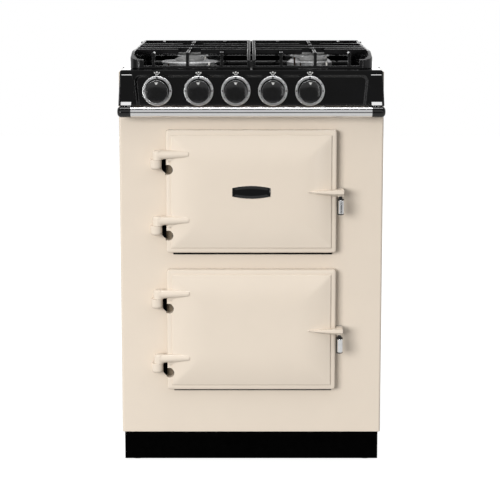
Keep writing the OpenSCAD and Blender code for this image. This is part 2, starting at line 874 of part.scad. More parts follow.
// The terminal box sits inside the rear panel, and the gland outside it
module terminal_box() {
    w = terminal_wall;
    d = rear_panel_d - terminal_depth;
    color("darkgray") difference() {
        block(terminal_x[0], terminal_x[1], d, rear_panel_d, terminal_z[0], terminal_z[1]);
        block(terminal_x[0] + w, terminal_x[1] - w, d + w, rear_panel_d - w,
            terminal_z[0] + w, terminal_z[1] - w);
        inward(gland_x, rear_panel_d - w - 1, rear_panel_d + 1, gland_z, gland_hole_d);
    }
}
module cable_gland() {
    color("black") difference() {
        inward(gland_x, rear_panel_back, rear_panel_back + gland_l, gland_z, gland_bore_d + 2 * gland_wall);
        inward(gland_x, rear_panel_back - 1, rear_panel_back + gland_l + 1, gland_z, gland_bore_d);
    }
}

module rear_panel_screws() {
    d = rear_panel_back;
    x = inner_half_w - screw_in;
    color("silver") for (sx = [-x, x], z = screw_rows)
        inward(sx, d, d + screw_h, z, screw_d);
}

// A domed slab: the height is the lesser of the two borders' domes, so the corners mitre
module dome_border(half, low, high) {
    steps = [for (i = [0 : dome_steps]) i * dome_slope_w / dome_steps];
    n = len(steps);
    polygon(concat(
        [[low, 0], [low, 1]],
        [for (i = [0 : n - 1]) [low + steps[i], 1 + dome(steps[i])]],
        [for (i = [0 : n - 1]) [high - steps[n - 1 - i], 1 + dome(steps[n - 1 - i])]],
        [[high, 1], [high, 0]]
    ));
}

module door_casting(z) {
    x = door_w / 2;
    h = door_h / 2;
    kr = knuckle_d / 2;
    lug_end = lug_reach - x;
    catch_end = x + catch_out;
    color("antiquewhite") difference() {
        union() {
            block(-x, x, rim_front, -door_gap, z - h, z + h);
            intersection() {
                translate([0, dep(rim_front + 1), z - h]) mirror([0, 1, 0]) linear_extrude(door_h)
                    dome_border(x, rim_w - x, x - rim_w);
                translate([-x, dep(rim_front + 1), z]) mirror([0, 1, 0]) rotate([90, 0, 90])
                    mirror([1, -1, 0]) linear_extrude(door_w) dome_border(h, rim_w - h, h - rim_w);
            }
            for (low = lug_bottoms(z)) translate([0, front_y, low]) linear_extrude(lug_h) {
                translate([hinge_x, -hinge_fwd]) circle(kr);
                polygon([
                    [hinge_x, -hinge_fwd - kr], [lug_end - kr, dome_front - 1], [lug_end, rim_front - lug_edge],
                    [lug_end, rim_front + 1], [hinge_x, kr - hinge_fwd]
                ]);
            }
            translate([0, front_y, z - catch_h / 2]) linear_extrude(catch_h) polygon([
                [x - catch_reach, rim_front - dome_h * 0.9], [x - catch_reach * 0.6, dome_front - catch_bend],
                [catch_end, dome_front - catch_tip], [catch_end, tongue_d], [x + 1, tongue_d],
                [x + 1, rim_front + 2], [x - catch_reach, rim_front + 2]
            ]);
        }
        for (low = lug_bottoms(z))
            upright(hinge_x, -hinge_fwd, low - 1, low + lug_h + 1, pin_d + 2 * run_clear);
    }
}

// The inner pan that closes the oven's mouth, its filling and the seal round it
module door_pan(z) {
    x = mouth_half_w - pan_clear;
    h = mouth_half_h - pan_clear;
    color("silver") difference() {
        block(-x, x, -door_gap, pan_reach, z - h, z + h);
        block(door_pan_t - x, x - door_pan_t, -door_gap - 1, pan_reach - door_pan_t,
            z - h + door_pan_t, z + h - door_pan_t);
    }
}
module door_insulation(z) {
    x = mouth_half_w - pan_clear - door_pan_t;
    h = mouth_half_h - pan_clear - door_pan_t;
    color("khaki") block(-x, x, -door_gap, pan_reach - door_pan_t, z - h, z + h);
}
module door_seal(z) {
    x = mouth_half_w + seal_in;
    h = mouth_half_h + seal_in;
    color("darkgray") difference() {
        block(-x - seal_w, x + seal_w, -door_gap, -part_gap, z - h - seal_w, z + h + seal_w);
        block(-x, x, -door_gap - 1, 0, z - h, z + h);
    }
}
module door_handle(z) {
    top = z - catch_h / 2;
    color("silver") {
        upright(handle_x, handle_axis_d, top - handle_stem - 1, top, handle_d / 2);
        upright(handle_x, handle_axis_d, top - handle_stem - handle_l, top - handle_stem, handle_d);
    }
}

module badge_plate() {
    arc_r = (pow(badge_w / 2, 2) + pow(badge_bow, 2)) / (2 * badge_bow);
    color("black") translate([0, 0, upper_door_z + badge_up]) front_profile(dome_front, badge_t)
        intersection() {
            square([badge_w, badge_h], center = true);
            translate([0, badge_h / 2 - arc_r]) circle(arc_r, $fn = 180);
            translate([0, arc_r - badge_h / 2]) circle(arc_r, $fn = 180);
        }
}

// A pan support's outline from the side
module support_outline() {
    f = support_front;
    nose_top = support_low + support_nose_h;
    polygon([
        [f, support_low], [support_back, support_low], [support_back, support_top],
        [f + support_slope, support_top], [f + support_step, nose_top + support_rise], [f, nose_top]
    ]);
}
// The plan of a pan support's outer corner, drawn in by a distance all round
module support_plan(inset) {
    r = support_corner_r;
    x = support_x - r;
    d = support_front + r;
    translate([0, dep(d)]) square([support_x - inset, support_back - d + inset]);
    translate([0, dep(support_front + inset)]) square([x, support_back - support_front]);
    translate([x, dep(d)]) circle(r - inset);
}
// The web in a pan support's outer front corner: a foot at the front, then a plate under the slope
module support_web() {
    x0 = support_x - corner_web_w;
    x1 = support_x - bar_t / 2;
    f = support_front;
    under = support_low + support_nose_h + corner_web_lift;
    intersection() {
        side_profile(x0, x1) difference() {
            support_outline();
            translate([f + corner_web_foot, support_low - 1]) square([corner_web_d, under - support_low + 1]);
        }
        translate([0, 0, support_low]) linear_extrude(support_h) intersection() {
            support_plan(0);
            polygon([[x0, dep(f)], [x1, dep(f)], [x1, dep(f + corner_web_d)]]);
        }
    }
}
// The right-hand pan support
module pan_support() {
    x0 = support_split / 2;
    x1 = support_x;
    f = support_front;
    bar_z = support_top - bar_h;
    mid = (front_burner_d + rear_burner_d) / 2;
    fingers = [burner_x - finger_x, burner_x, burner_x + finger_x];
    intersection() {
        side_profile(x1 - support_corner_w, x1) support_outline();
        translate([0, 0, support_low]) linear_extrude(support_h) difference() {
            support_plan(0);
            support_plan(bar_t);
        }
    }
    support_web();
    side_profile(x0, x0 + bar_t) difference() {
        support_outline();
        translate([f + support_slope, support_low - 1])
            square([support_back - f - support_slope - bar_t, bar_z - support_low + 1]);
    }
    block(x0, x1 - support_corner_w + 1, f, f + bar_t, support_low, support_low + low_rail_h);
    block(x0, x1, support_back - bar_t, support_back, bar_z, support_top);
    for (d = [mid - cross_bar_half, mid + cross_bar_half])
        block(x0, x1, d - bar_t / 2, d + bar_t / 2, bar_z, support_top);
    for (x = fingers) {
        front_reach = x == burner_x ? front_burner_d - finger_open : f + corner_finger_front;
        back_reach = x == burner_x ? rear_burner_d + finger_open : support_back - corner_finger_back;
        block(x - bar_t / 2, x + bar_t / 2, f, f + bar_t, support_low, support_top);
        block(x - bar_t / 2, x + bar_t / 2, f, front_reach, bar_z, support_top);
        block(x - bar_t / 2, x + bar_t / 2, back_reach, support_back, bar_z, support_top);
    }
    block(burner_x - bar_t / 2, burner_x + bar_t / 2, front_burner_d + finger_open,
        mid - cross_bar_half, bar_z, support_top);
    block(burner_x - bar_t / 2, burner_x + bar_t / 2, mid + cross_bar_half,
        rear_burner_d - finger_open, bar_z, support_top);
    for (d = [front_burner_d, rear_burner_d]) {
        block(x0, burner_x - finger_open, d - bar_t / 2, d + bar_t / 2, bar_z, support_top);
        block(burner_x + finger_open, x1, d - bar_t / 2, d + bar_t / 2, bar_z, support_top);
    }
}
module right_pan_support() {
    color("black") pan_support();
}
module left_pan_support() {
    color("black") mirror([1, 0, 0]) pan_support();
}

base_frame();
levelling_feet();
plinth();
front_plate();
left_side_panel();
right_side_panel();
rear_panel();
rear_upstand();
hob_top();
control_fascia();
handrail_tube();
handrail_brackets();
upper_oven_liner();
lower_oven_liner();
upper_insulation();
lower_insulation();
upper_oven_elements();
lower_oven_element();
upper_oven_shelves();
lower_oven_shelf();
oven_thermostat();
hinge_bosses();
hinge_pins();
catch_keepers();
knob_bezels();
gas_manifold();
gas_taps();
burner_feed_pipes();
burner_cups();
burner_heads();
burner_caps();
burner_igniters();
flame_sensors();
gas_inlet();
terminal_box();
cable_gland();
rear_panel_screws();
door_casting(upper_door_z);  // upper_door_casting
door_pan(upper_door_z);  // upper_door_pan
door_insulation(upper_door_z);  // upper_door_insulation
door_seal(upper_door_z);  // upper_door_seal
door_handle(upper_door_z);  // upper_door_handle
badge_plate();
door_casting(lower_door_z);  // lower_door_casting
door_pan(lower_door_z);  // lower_door_pan
door_insulation(lower_door_z);  // lower_door_insulation
door_seal(lower_door_z);  // lower_door_seal
door_handle(lower_door_z);  // lower_door_handle
left_pan_support();
right_pan_support();
knob(oven_knob_x);  // oven_knob
knob(knob_x(0));  // gas_knob_1
knob(knob_x(1));  // gas_knob_2
knob(knob_x(2));  // gas_knob_3
knob(knob_x(3));  // gas_knob_4
tap_plunger(knob_x(0));  // tap_plunger_1
tap_plunger(knob_x(1));  // tap_plunger_2
tap_plunger(knob_x(2));  // tap_plunger_3
tap_plunger(knob_x(3));  // tap_plunger_4
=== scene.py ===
"""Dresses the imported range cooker: enamelled castings, chrome, cast iron and a plain pale stage."""

import json
import math

import bpy
from bpy.props import FloatProperty, FloatVectorProperty, IntProperty, PointerProperty
from bpy.types import Operator, Panel, PropertyGroup
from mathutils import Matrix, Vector

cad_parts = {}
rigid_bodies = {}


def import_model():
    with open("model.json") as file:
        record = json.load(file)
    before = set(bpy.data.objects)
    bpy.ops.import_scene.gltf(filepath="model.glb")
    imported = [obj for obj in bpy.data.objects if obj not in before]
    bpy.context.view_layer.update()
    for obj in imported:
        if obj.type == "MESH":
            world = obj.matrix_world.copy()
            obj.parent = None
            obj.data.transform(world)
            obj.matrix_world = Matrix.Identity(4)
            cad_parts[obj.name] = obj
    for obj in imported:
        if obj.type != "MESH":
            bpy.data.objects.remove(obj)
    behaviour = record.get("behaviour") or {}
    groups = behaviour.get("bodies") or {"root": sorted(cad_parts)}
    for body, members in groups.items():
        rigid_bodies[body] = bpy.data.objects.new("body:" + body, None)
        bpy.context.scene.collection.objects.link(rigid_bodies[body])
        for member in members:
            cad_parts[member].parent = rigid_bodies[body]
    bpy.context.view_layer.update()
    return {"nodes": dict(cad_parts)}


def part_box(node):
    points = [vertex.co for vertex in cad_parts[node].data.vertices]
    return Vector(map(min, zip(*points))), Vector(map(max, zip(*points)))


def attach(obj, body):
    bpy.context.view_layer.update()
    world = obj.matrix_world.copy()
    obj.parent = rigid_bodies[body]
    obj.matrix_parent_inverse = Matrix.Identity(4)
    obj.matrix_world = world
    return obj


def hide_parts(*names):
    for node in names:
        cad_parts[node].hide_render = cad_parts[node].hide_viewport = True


bl_info = {
    "name": "Range Cooker",
    "version": (1, 0, 0),
    "blender": (4, 5, 0),
    "location": "View3D > Sidebar > Cooker",
    "description": "Builds the visible pieces of a range cooker round its packed solids",
    "category": "Object",
}

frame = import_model()
MM = 0.001
# The face of the front plate, from which depths are counted back
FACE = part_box("front_plate")[0].y


def spot(x, depth, z):
    """A place across, back from the front plate's face and up, in millimetres."""
    return Vector((x * MM, FACE + depth * MM, z * MM))


def in_mm(point):
    """The same the other way: across, depth and height in millimetres."""
    return Vector((point.x / MM, (point.y - FACE) / MM, point.z / MM))


def reach(node):
    """Where a CAD node starts and ends across, in depth and in height, to a hundredth of a millimetre."""
    low, high = [in_mm(corner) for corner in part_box(node)]
    return [(round(low[i], 2), round(high[i], 2)) for i in range(3)]


def middle(node):
    """The middle of a CAD node, the same way."""
    return [round((low + high) / 2, 2) for low, high in reach(node)]


# Places that the frame gives, in millimetres
HALF_W = reach("front_plate")[0][1]
FASCIA_FRONT, LEDGE_BACK = reach("control_fascia")[1]
FASCIA_BASE, HOB_Z = reach("control_fascia")[2]
SUPPORT_TOP = reach("left_pan_support")[2][1]
DOORS = {door: middle(door + "_door_casting")[2] for door in ("upper", "lower")}
PIN_X, PIN_DEPTH = middle("hinge_pins")[:2]
HANDLE_X = middle("upper_door_handle")[0]
RAIL_DEPTH, RAIL_Z = middle("handrail_tube")[1:]
KNOB_Z = middle("oven_knob")[2]
KNOBS = {node: middle(node)[0] for node in ("oven_knob", *["gas_knob_" + n for n in "1234"])}
HEAD_BASE = reach("burner_heads")[2][0]
CAP_BASE = reach("burner_caps")[2][0]

# The lugs' lower faces, from the middle of a door
LUG_H = 21
LUG_FEET = (84 - LUG_H / 2, -66 - LUG_H / 2)

# Places this many millimetres apart count as the same
NEAR = 0.1
TURNED = {"x": (0, math.pi / 2, 0), "y": (math.pi / 2, 0, 0), "z": (0, 0, 0)}


# Small helpers for modelling


def work_on(*pieces):
    """Object mode with only these pieces selected, the first one active."""
    if bpy.context.object and bpy.context.object.mode != "OBJECT":
        bpy.ops.object.mode_set(mode="OBJECT")
    bpy.ops.object.select_all(action="DESELECT")
    for piece in pieces:
        piece.select_set(True)
    if pieces:
        bpy.context.view_layer.objects.active = pieces[0]


def name_new(name):
    """Names the new primitive and puts its place into its mesh."""
    piece = bpy.context.object
    piece.name = piece.data.name = name
    bpy.ops.object.transform_apply(location=True, rotation=True, scale=True)
    return piece


def add_box(name, x0, x1, d0, d1, z0, z1):
    work_on()
    low, high = spot(x0, d0, z0), spot(x1, d1, z1)
    bpy.ops.mesh.primitive_cube_add(size=1, location=(low + high) / 2, scale=high - low)
    return name_new(name)


def add_rod(name, centre, radius, length, axis="z", sides=48):
    work_on()
    bpy.ops.mesh.primitive_cylinder_add(
        vertices=sides, radius=radius * MM, depth=length * MM, location=centre, rotation=TURNED[axis]
    )
    return name_new(name)


def add_triangle(name, centre, radius, thickness):
    """A flat triangle on the front, with one corner up."""
    work_on()
    bpy.ops.mesh.primitive_cylinder_add(
        vertices=3, radius=radius * MM, depth=thickness * MM, location=centre,
        rotation=(math.pi / 2, math.pi, 0),
    )
    return name_new(name)


def pick(piece, kind, test):
    """Selects what passes the test, in edit mode. Places are in millimetres."""
    work_on(piece)
    mesh = piece.data
    bpy.context.tool_settings.mesh_select_mode = (kind == "VERT", kind == "EDGE", kind == "FACE")
    for group in (mesh.vertices, mesh.edges, mesh.polygons):
        group.foreach_set("select", [False] * len(group))
    if kind == "VERT":
        for v in mesh.vertices:
            v.select = test(in_mm(v.co))
    elif kind == "EDGE":
        for e in mesh.edges:
            e.select = test(*[in_mm(mesh.vertices[i].co) for i in e.vertices])
    else:
        for f in mesh.polygons:
            f.select = test(in_mm(f.center), f.normal)
    bpy.ops.object.mode_set(mode="EDIT")


def runs(axis, a, b):
    """Whether an edge runs straight along x, depth (y) or z."""
    return all(abs(a[i] - b[i]) < NEAR for i in range(3) if "xyz"[i] != axis)


def level(a, b):
    return abs(a.z - b.z) < NEAR


def over(z):
    """A test for edges at this height or above it."""
    return lambda a, b: min(a.z, b.z) > z - NEAR


def ahead_of(depth):
    """A test for edges at this depth or in front of it."""
    return lambda a, b: max(a.y, b.y) < depth + NEAR


def faces_front(centre, normal):
    return normal.y < -0.99


def faces_up(centre, normal):
    return normal.z > 0.99


def slice_at(piece, axis, places):
    """Cuts the mesh through at each place along x, depth or z, without parting it."""
    for place in places:
        pick(piece, "FACE", lambda c, n: True)
        point = {"x": spot(place, 0, 0), "y": spot(0, place, 0), "z": spot(0, 0, place)}[axis]
        normal = {"x": (1, 0, 0), "y": (0, 1, 0), "z": (0, 0, 1)}[axis]
        bpy.ops.mesh.bisect(plane_co=point, plane_no=normal)


def round_picked(radius, segments=4, clamp=False):
    bpy.ops.mesh.bevel(offset=radius * MM, segments=segments, affect="EDGES", clamp_overlap=clamp)


def inset(width, rise=0):
    """Insets the picked faces, and moves them out by the rise."""
    bpy.ops.mesh.inset(thickness=width * MM, depth=rise * MM)


def extrude(depth=0, z=0):
    bpy.ops.mesh.extrude_region_move(TRANSFORM_OT_translate={"value": (0, depth * MM, z * MM)})


def shift(x=0, depth=0, z=0):
    bpy.ops.transform.translate(value=(x * MM, depth * MM, z * MM))


def resize(centre, x=1, y=1, z=1):
    bpy.ops.transform.resize(value=(x, y, z), center_override=centre)


def soften(piece, radius, segments=2, angle=35):
    """Rounds every edge that is sharper than the angle, as casting or pressing leaves it."""
    work_on(piece)
    edge = piece.modifiers.new("Soft edges", "BEVEL")
    edge.width = radius * MM
    edge.segments = segments
    edge.limit_method = "ANGLE"
    edge.angle_limit = math.radians(angle)
    edge.use_clamp_overlap = False
    edge.harden_normals = False
    bpy.ops.object.modifier_apply(modifier=edge.name)


def cut(piece, *cutters):
    """Cuts the cutters out of the piece."""
    for cutter in cutters:
        work_on(piece)
        hole = piece.modifiers.new("Cut", "BOOLEAN")
        hole.operation = "DIFFERENCE"
        hole.solver = "EXACT"
        hole.object = cutter
        bpy.ops.object.modifier_apply(modifier=hole.name)
        bpy.data.objects.remove(cutter)


def join(name, *pieces):
    work_on(*pieces)
    bpy.ops.object.join()
    pieces[0].name = name
    return pieces[0]


def smooth(piece, angle, flat):
    """Smooth shading up to the angle, where flat lets large faces set the normals."""
    work_on(piece)
    bpy.ops.object.shade_smooth_by_angle(angle=math.radians(angle))
    if flat:
        weights = piece.modifiers.new("Flat faces", "WEIGHTED_NORMAL")
        weights.keep_sharp = True
        bpy.ops.object.modifier_apply(modifier=weights.name)


def hand_over(piece, body, material, slot, *nodes, angle=30, flat=True):
    """Gives a finished piece its shading, its material and its body, and hides the nodes that it stands
    for.
    """
    smooth(piece, angle, flat)
    if not piece.data.materials:
        piece.data.materials.append(MATERIALS[material])
    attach(piece, body)
    if nodes:
        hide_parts(*nodes)


def paint_picked(piece, material):
    """Gives the picked faces a second material."""
    bpy.ops.object.mode_set(mode="OBJECT")
    piece.data.materials.append(MATERIALS[material])
    index = len(piece.data.materials) - 1
    for f in piece.data.polygons:
        if f.select:
            f.material_index = index


def merged_copy(name, node):
    """A copy of a CAD node with its loose triangles merged into whole faces."""
    work_on(frame["nodes"][node])
    bpy.ops.object.duplicate()
    piece = bpy.context.object
    piece.name = piece.data.name = name
    bpy.ops.object.parent_clear(type="CLEAR_KEEP_TRANSFORM")
    for key in list(piece.keys()):
        del piece[key]
    piece.data.materials.clear()
    bpy.ops.object.mode_set(mode="EDIT")
    bpy.ops.mesh.select_all(action="SELECT")
    bpy.ops.mesh.remove_doubles(threshold=0.002 * MM)
    bpy.ops.mesh.customdata_custom_splitnormals_clear()
    bpy.ops.mesh.dissolve_limited(angle_limit=math.radians(0.4))
    bpy.ops.object.mode_set(mode="OBJECT")
    return piece


# Materials

MATERIALS = {}


def colour(text):
    """An sRGB hex colour as linear light."""
    parts = [int(text[i : i + 2], 16) / 255 for i in (1, 3, 5)]
    return tuple(c / 12.92 if c <= 0.04045 else ((c + 0.055) / 1.055) ** 2.4 for c in parts) + (1,)


def add_node(tree, kind, links=None, **settings):
    """Adds a node with its settings. The links are sockets or plain values by input name."""
    node = tree.nodes.new(kind)
    for key, value in settings.items():
        setattr(node, key, value)
    for key, value in (links or {}).items():
        if isinstance(value, bpy.types.NodeSocket):
            tree.links.new(value, node.inputs[key])
        else:
            node.inputs[key].default_value = value
    return node


def new_material(name, **sockets):
    """An empty material: its tree, its shader and a piece's own place on the object."""
    material = bpy.data.materials.new(name)
    material.use_nodes = True
    tree = material.node_tree
    shader = tree.nodes["Principled BSDF"]
    for key, value in sockets.items():
        shader.inputs[key.replace("_", " ")].default_value = value
    place = add_node(tree, "ShaderNodeTexCoord").outputs["Object"]
    MATERIALS[name] = material
    return tree, shader, place


def noise(made, size_mm, detail=2.0, stretch=None):
    """Noise whose lumps are about this many millimetres across, or stretched to run one way."""
    tree, place = made[0], made[2]
    if stretch:
        place = add_node(tree, "ShaderNodeMapping", {"Vector": place, "Scale": stretch}).outputs["Vector"]
    links = {"Vector": place, "Scale": 1 / (size_mm * MM), "Detail": detail}
    return add_node(tree, "ShaderNodeTexNoise", links).outputs["Fac"]


def vary(made, socket, pattern, low, high, edges=(0.3, 0.7)):
    """Lets a pattern swing a shader value or colour between two ends."""
    tree, shader = made[:2]
    ramp = add_node(tree, "ShaderNodeValToRGB", {"Fac": pattern})
    for end, edge, value in zip(ramp.color_ramp.elements, edges, (low, high)):
        end.position = edge
        end.color = value if isinstance(value, tuple) else (value, value, value, 1)
    tree.links.new(ramp.outputs["Color"], shader.inputs[socket])


def tint(made, pattern, low, high, **settings):
    """Lets a pattern swing the colour between two hex values."""
    vary(made, "Base Color", pattern, colour(low), colour(high), **settings)


def polish(made, pattern, low, high):
    """Lets a pattern swing the roughness."""
    vary(made, "Roughness", pattern, low, high)


def relief(made, pattern, depth_mm):
    """Raises a pattern by a real depth in millimetres."""
    tree, shader = made[:2]
    bump = add_node(tree, "ShaderNodeBump", {"Height": pattern, "Distance": depth_mm * MM})
    tree.links.new(bump.outputs["Normal"], shader.inputs["Normal"])


def make_materials(tones):
    """Every material, each named for the real one."""
    # Vitreous enamel fired on cast iron: deep gloss with a faint orange peel 9 mm across
    made = new_material("cream_vitreous_enamel", IOR=1.5)
    cream, dimmer = tuple(tones.cream), 0.985
    clouded = tuple(c * dimmer for c in cream)
    vary(made, "Base Color", noise(made, 60, 3), clouded + (1,), cream + (1,))
    polish(made, noise(made, 25), 0.2, 0.26)
    relief(made, noise(made, 9), 0.03)

    # Black vitreous enamel: the same glass over steel, almost a mirror, with finer peel
    made = new_material("black_vitreous_enamel", IOR=1.5)
    tint(made, noise(made, 40), "#030303", "#060607")
    polish(made, noise(made, 18), 0.03, 0.06)
    relief(made, noise(made, 12), 0.008)

    # Satin black paint on folded steel: an even, slightly grained sheen
    made = new_material("satin_black_paint", IOR=1.25, Specular_IOR_Level=0.04)
    tint(made, noise(made, 12), "#010101", "#030303")
    polish(made, noise(made, 5), 0.42, 0.52)
    relief(made, noise(made, 1.2), 0.02)

    # Brushed stainless tube: hairlines along its length, drawn 0.9 mm wide so that they show
    made = new_material("brushed_stainless_tube", Metallic=1.0)
    hair = noise(made, 0.9, 4, stretch=(0.012, 1, 1))
    tint(made, hair, "#dadadb", "#e6e6e7")
    polish(made, hair, 0.07, 0.12)
    relief(made, hair, 0.006)

    # Chrome plate on brass: a mirror with a trace of handling on it
    made = new_material("bright_chrome_plate", Metallic=1.0)
    film = noise(made, 6, 3)
    tint(made, film, "#dddee0", "#e9e9ea")
    polish(made, film, 0.05, 0.1)
    relief(made, noise(made, 3), 0.004)

    # Satin chrome bezel: plated over a fine blasted grain, drawn 1.6 mm across so that it shows
    made = new_material("satin_chrome_bezel", Metallic=1.0)
    grain = noise(made, 1.6, 4)
    tint(made, grain, "#cfd0d0", "#f4f4f4")
    polish(made, grain, 0.28, 0.38)
    relief(made, grain, 0.03)

    # Cast iron under black enamel: gloss over a sand-cast grain about 1.5 mm across
    made = new_material("enamelled_cast_iron", IOR=1.5)
    sand = noise(made, 1.5, 3)
    tint(made, noise(made, 14), "#040404", "#0b0b0c")
    polish(made, sand, 0.12, 0.2)
    relief(made, sand, 0.05)

    # Cast aluminium burner: bright, with a fine blasted grain and heat-greyed patches
    made = new_material("cast_aluminium_burner", Metallic=0.75)
    blast = noise(made, 0.8, 4)
    tint(made, noise(made, 9, 3), "#c0c1c2", "#f0f0f0")
    polish(made, blast, 0.24, 0.38)
    relief(made, blast, 0.05)

    # Grey enamelled burner cap: matt glass on steel
    made = new_material("grey_enamel_cap", IOR=1.5)
    tint(made, noise(made, 5, 3), "#5f5f5e", "#868685")
    polish(made, noise(made, 2), 0.28, 0.4)
    relief(made, noise(made, 1.2), 0.03)

    # Black phenolic knob: moulded and polished
    made = new_material("black_phenolic_moulding", IOR=1.55)
    tint(made, noise(made, 8), "#070707", "#0c0c0d")
    polish(made, noise(made, 4), 0.12, 0.2)
    relief(made, noise(made, 2.5), 0.006)

    # White ceramic ink of the printed marks: flat and even, a hair above the enamel
    made = new_material("fired_ceramic_ink", IOR=1.45)
    tint(made, noise(made, 2), "#b4b4b2", "#d2d2d0")
    polish(made, noise(made, 1), 0.4, 0.55)

    # Zinc-coated steel sheet: crystals of zinc about 14 mm across, each at its own tilt
    made = new_material("galvanised_steel_sheet", Metallic=1.0)
    tree, place = made[0], made[2]
    links = {"Vector": place, "Scale": 1 / (14 * MM), "Randomness": 1.0}
    spangle = add_node(tree, "ShaderNodeTexVoronoi", links).outputs["Color"]
    grey = add_node(tree, "ShaderNodeRGBToBW", {"Color": spangle}).outputs["Val"]
    tint(made, grey, "#aeb1b3", "#bbbec0")
    polish(made, grey, 0.4, 0.47)
    relief(made, grey, 0.02)

    # Speckled oven enamel: blue-grey glass with pale flecks about 1.6 mm across
    made = new_material("speckled_oven_enamel", IOR=1.5)
    tint(made, noise(made, 1.6, 1), "#2b2f36", "#b9bec4", edges=(0.66, 0.72))
    polish(made, noise(made, 12), 0.18, 0.28)
    relief(made, noise(made, 6), 0.02)

    # Pressed mineral wool: matted straw-coloured fibres lying in layers
    made = new_material("pressed_mineral_wool", Roughness=0.95)
    fibre = noise(made, 1.4, 6, stretch=(0.15, 0.15, 1))
    tint(made, fibre, "#8c7d54", "#c9bb8c")
    relief(made, fibre, 0.8)

    # Heat-darkened steel sheath: brown-black oxide with a dull shine
    made = new_material("oxidised_steel_sheath", Metallic=0.8)
    oxide = noise(made, 7, 4)
    tint(made, oxide, "#2f2a27", "#4c4642")
    polish(made, oxide, 0.4, 0.6)
    relief(made, oxide, 0.03)

    # Polished steel wire and pins: bright with a drawn grain
    made = new_material("bright_drawn_steel", Metallic=1.0)
    drawn = noise(made, 1, 3, stretch=(1, 0.05, 1))
    tint(made, drawn, "#b4b6b8", "#d6d7d8")
    polish(made, drawn, 0.14, 0.24)
    relief(made, drawn, 0.01)

    # Turned brass: warm, with tool rings too fine to see, drawn 0.7 mm apart
    made = new_material("turned_brass", Metallic=1.0)
    ring = noise(made, 0.7, 2, stretch=(0.2, 1, 0.2))
    tint(made, ring, "#b8923f", "#d9b765")
    polish(made, ring, 0.2, 0.32)
    relief(made, ring, 0.02)

    # Copper capillary of the flame sensors: burnt brown-black where the flame reaches it
    made = new_material("heat_browned_copper", Metallic=1.0)
    burnt = noise(made, 4, 3)
    tint(made, burnt, "#2e211c", "#5c4438")
    polish(made, burnt, 0.35, 0.5)
    relief(made, burnt, 0.02)

    # Glazed steatite of the igniters: white, smooth, slightly warm
    made = new_material("glazed_steatite", IOR=1.5)
    tint(made, noise(made, 3), "#e8e5dc", "#f4f2ec")
    polish(made, noise(made, 2), 0.12, 0.2)

    # Black rubber of the strip under each door, which also stands as the painted shadow line under the
    # door: matt, with a faint bloom
    made = new_material("black_rubber_and_shade_line", IOR=1.4, Specular_IOR_Level=0.2)
    tint(made, noise(made, 6), "#050404", "#0a0808")
    polish(made, noise(made, 2), 0.6, 0.75)
    relief(made, noise(made, 1), 0.02)

    # Brown-grey fibre pad behind the reliefs in a door's edge, painted shade that darkens their hollows:
    # matt, flecked at 2 mm
    made = new_material("relief_shade_fibre", IOR=1.4, Specular_IOR_Level=0.2)
    fleck = noise(made, 2, 4)
    tint(made, fleck, "#6b6152", "#85796a")
    polish(made, fleck, 0.75, 0.9)
    relief(made, fleck, 0.05)

    # Woven glass-fibre rope of the door seals: slanting strands about 3 mm wide
    made = new_material("woven_glass_rope", Roughness=0.9)
    tree, place = made[0], made[2]
    links = {"Vector": place, "Scale": 105.0, "Distortion": 1.5}
    weave = add_node(tree, "ShaderNodeTexWave", links, bands_direction="DIAGONAL").outputs["Fac"]
    tint(made, weave, "#3c3c3a", "#6f6e69")
    relief(made, weave, 0.7)


# The carried-over nodes, by material
NODE_FINISHES = {
    "satin_black_paint": ("base_frame", "levelling_feet", "plinth"),
    "cream_vitreous_enamel": ("left_side_panel", "right_side_panel"),
    "black_vitreous_enamel": ("rear_upstand",),
    "galvanised_steel_sheet": (
        "rear_panel", "terminal_box", "rear_panel_screws", "gas_manifold", "oven_thermostat",
        "upper_door_pan", "lower_door_pan",
    ),
    "speckled_oven_enamel": ("upper_oven_liner", "lower_oven_liner"),
    "pressed_mineral_wool": (
        "upper_insulation", "lower_insulation", "upper_door_insulation", "lower_door_insulation",
    ),
    "oxidised_steel_sheath": ("upper_oven_elements", "lower_oven_element"),
    "bright_drawn_steel": (
        "upper_oven_shelves", "lower_oven_shelf", "hinge_pins", "catch_keepers",
    ),
    "turned_brass": (
        "gas_taps", "gas_inlet", "tap_plunger_1", "tap_plunger_2", "tap_plunger_3", "tap_plunger_4",
    ),
    "cast_aluminium_burner": ("burner_feed_pipes", "burner_cups"),
    "glazed_steatite": ("burner_igniters",),
    "heat_browned_copper": ("flame_sensors",),
    "black_phenolic_moulding": ("cable_gland",),
    "woven_glass_rope": ("upper_door_seal", "lower_door_seal"),
}


# What a user would change


def metres(name, description, default):
    """A length that a user would change, in metres."""
    return FloatProperty(name=name, description=description, default=default, unit="LENGTH")


class CookerSizes(PropertyGroup):
    """Sizes of the visible pieces."""

    door_width: metres("Door width", "Width of both oven doors", 0.385)
    door_height: metres("Door height", "Height of both oven doors", 0.280)
    door_corner: metres("Door corner", "Radius of a door's corners", 0.007)
    rim_width: metres("Rim width", "Width of a door's flat rim", 0.011)
    dome_height: metres("Dome height", "Height of a door's dome", 0.013)
    dome_border: metres("Dome border", "Width of the dome's sloping border", 0.074)
    dome_rings: IntProperty(
        name="Dome rings", description="Rings of faces in the dome's border", default=14, min=4, max=30
    )
    knob_radius: metres("Knob radius", "Radius of the knobs' caps", 0.025)
    bezel_radius: metres("Bezel radius", "Outer radius of the knob bezels", 0.0335)
    rail_radius: metres("Rail radius", "Radius of the handrail", 0.0125)
    burner_sides: IntProperty(
        name="Burner sides", description="Flat sides round each burner", default=72, min=24, max=120
    )


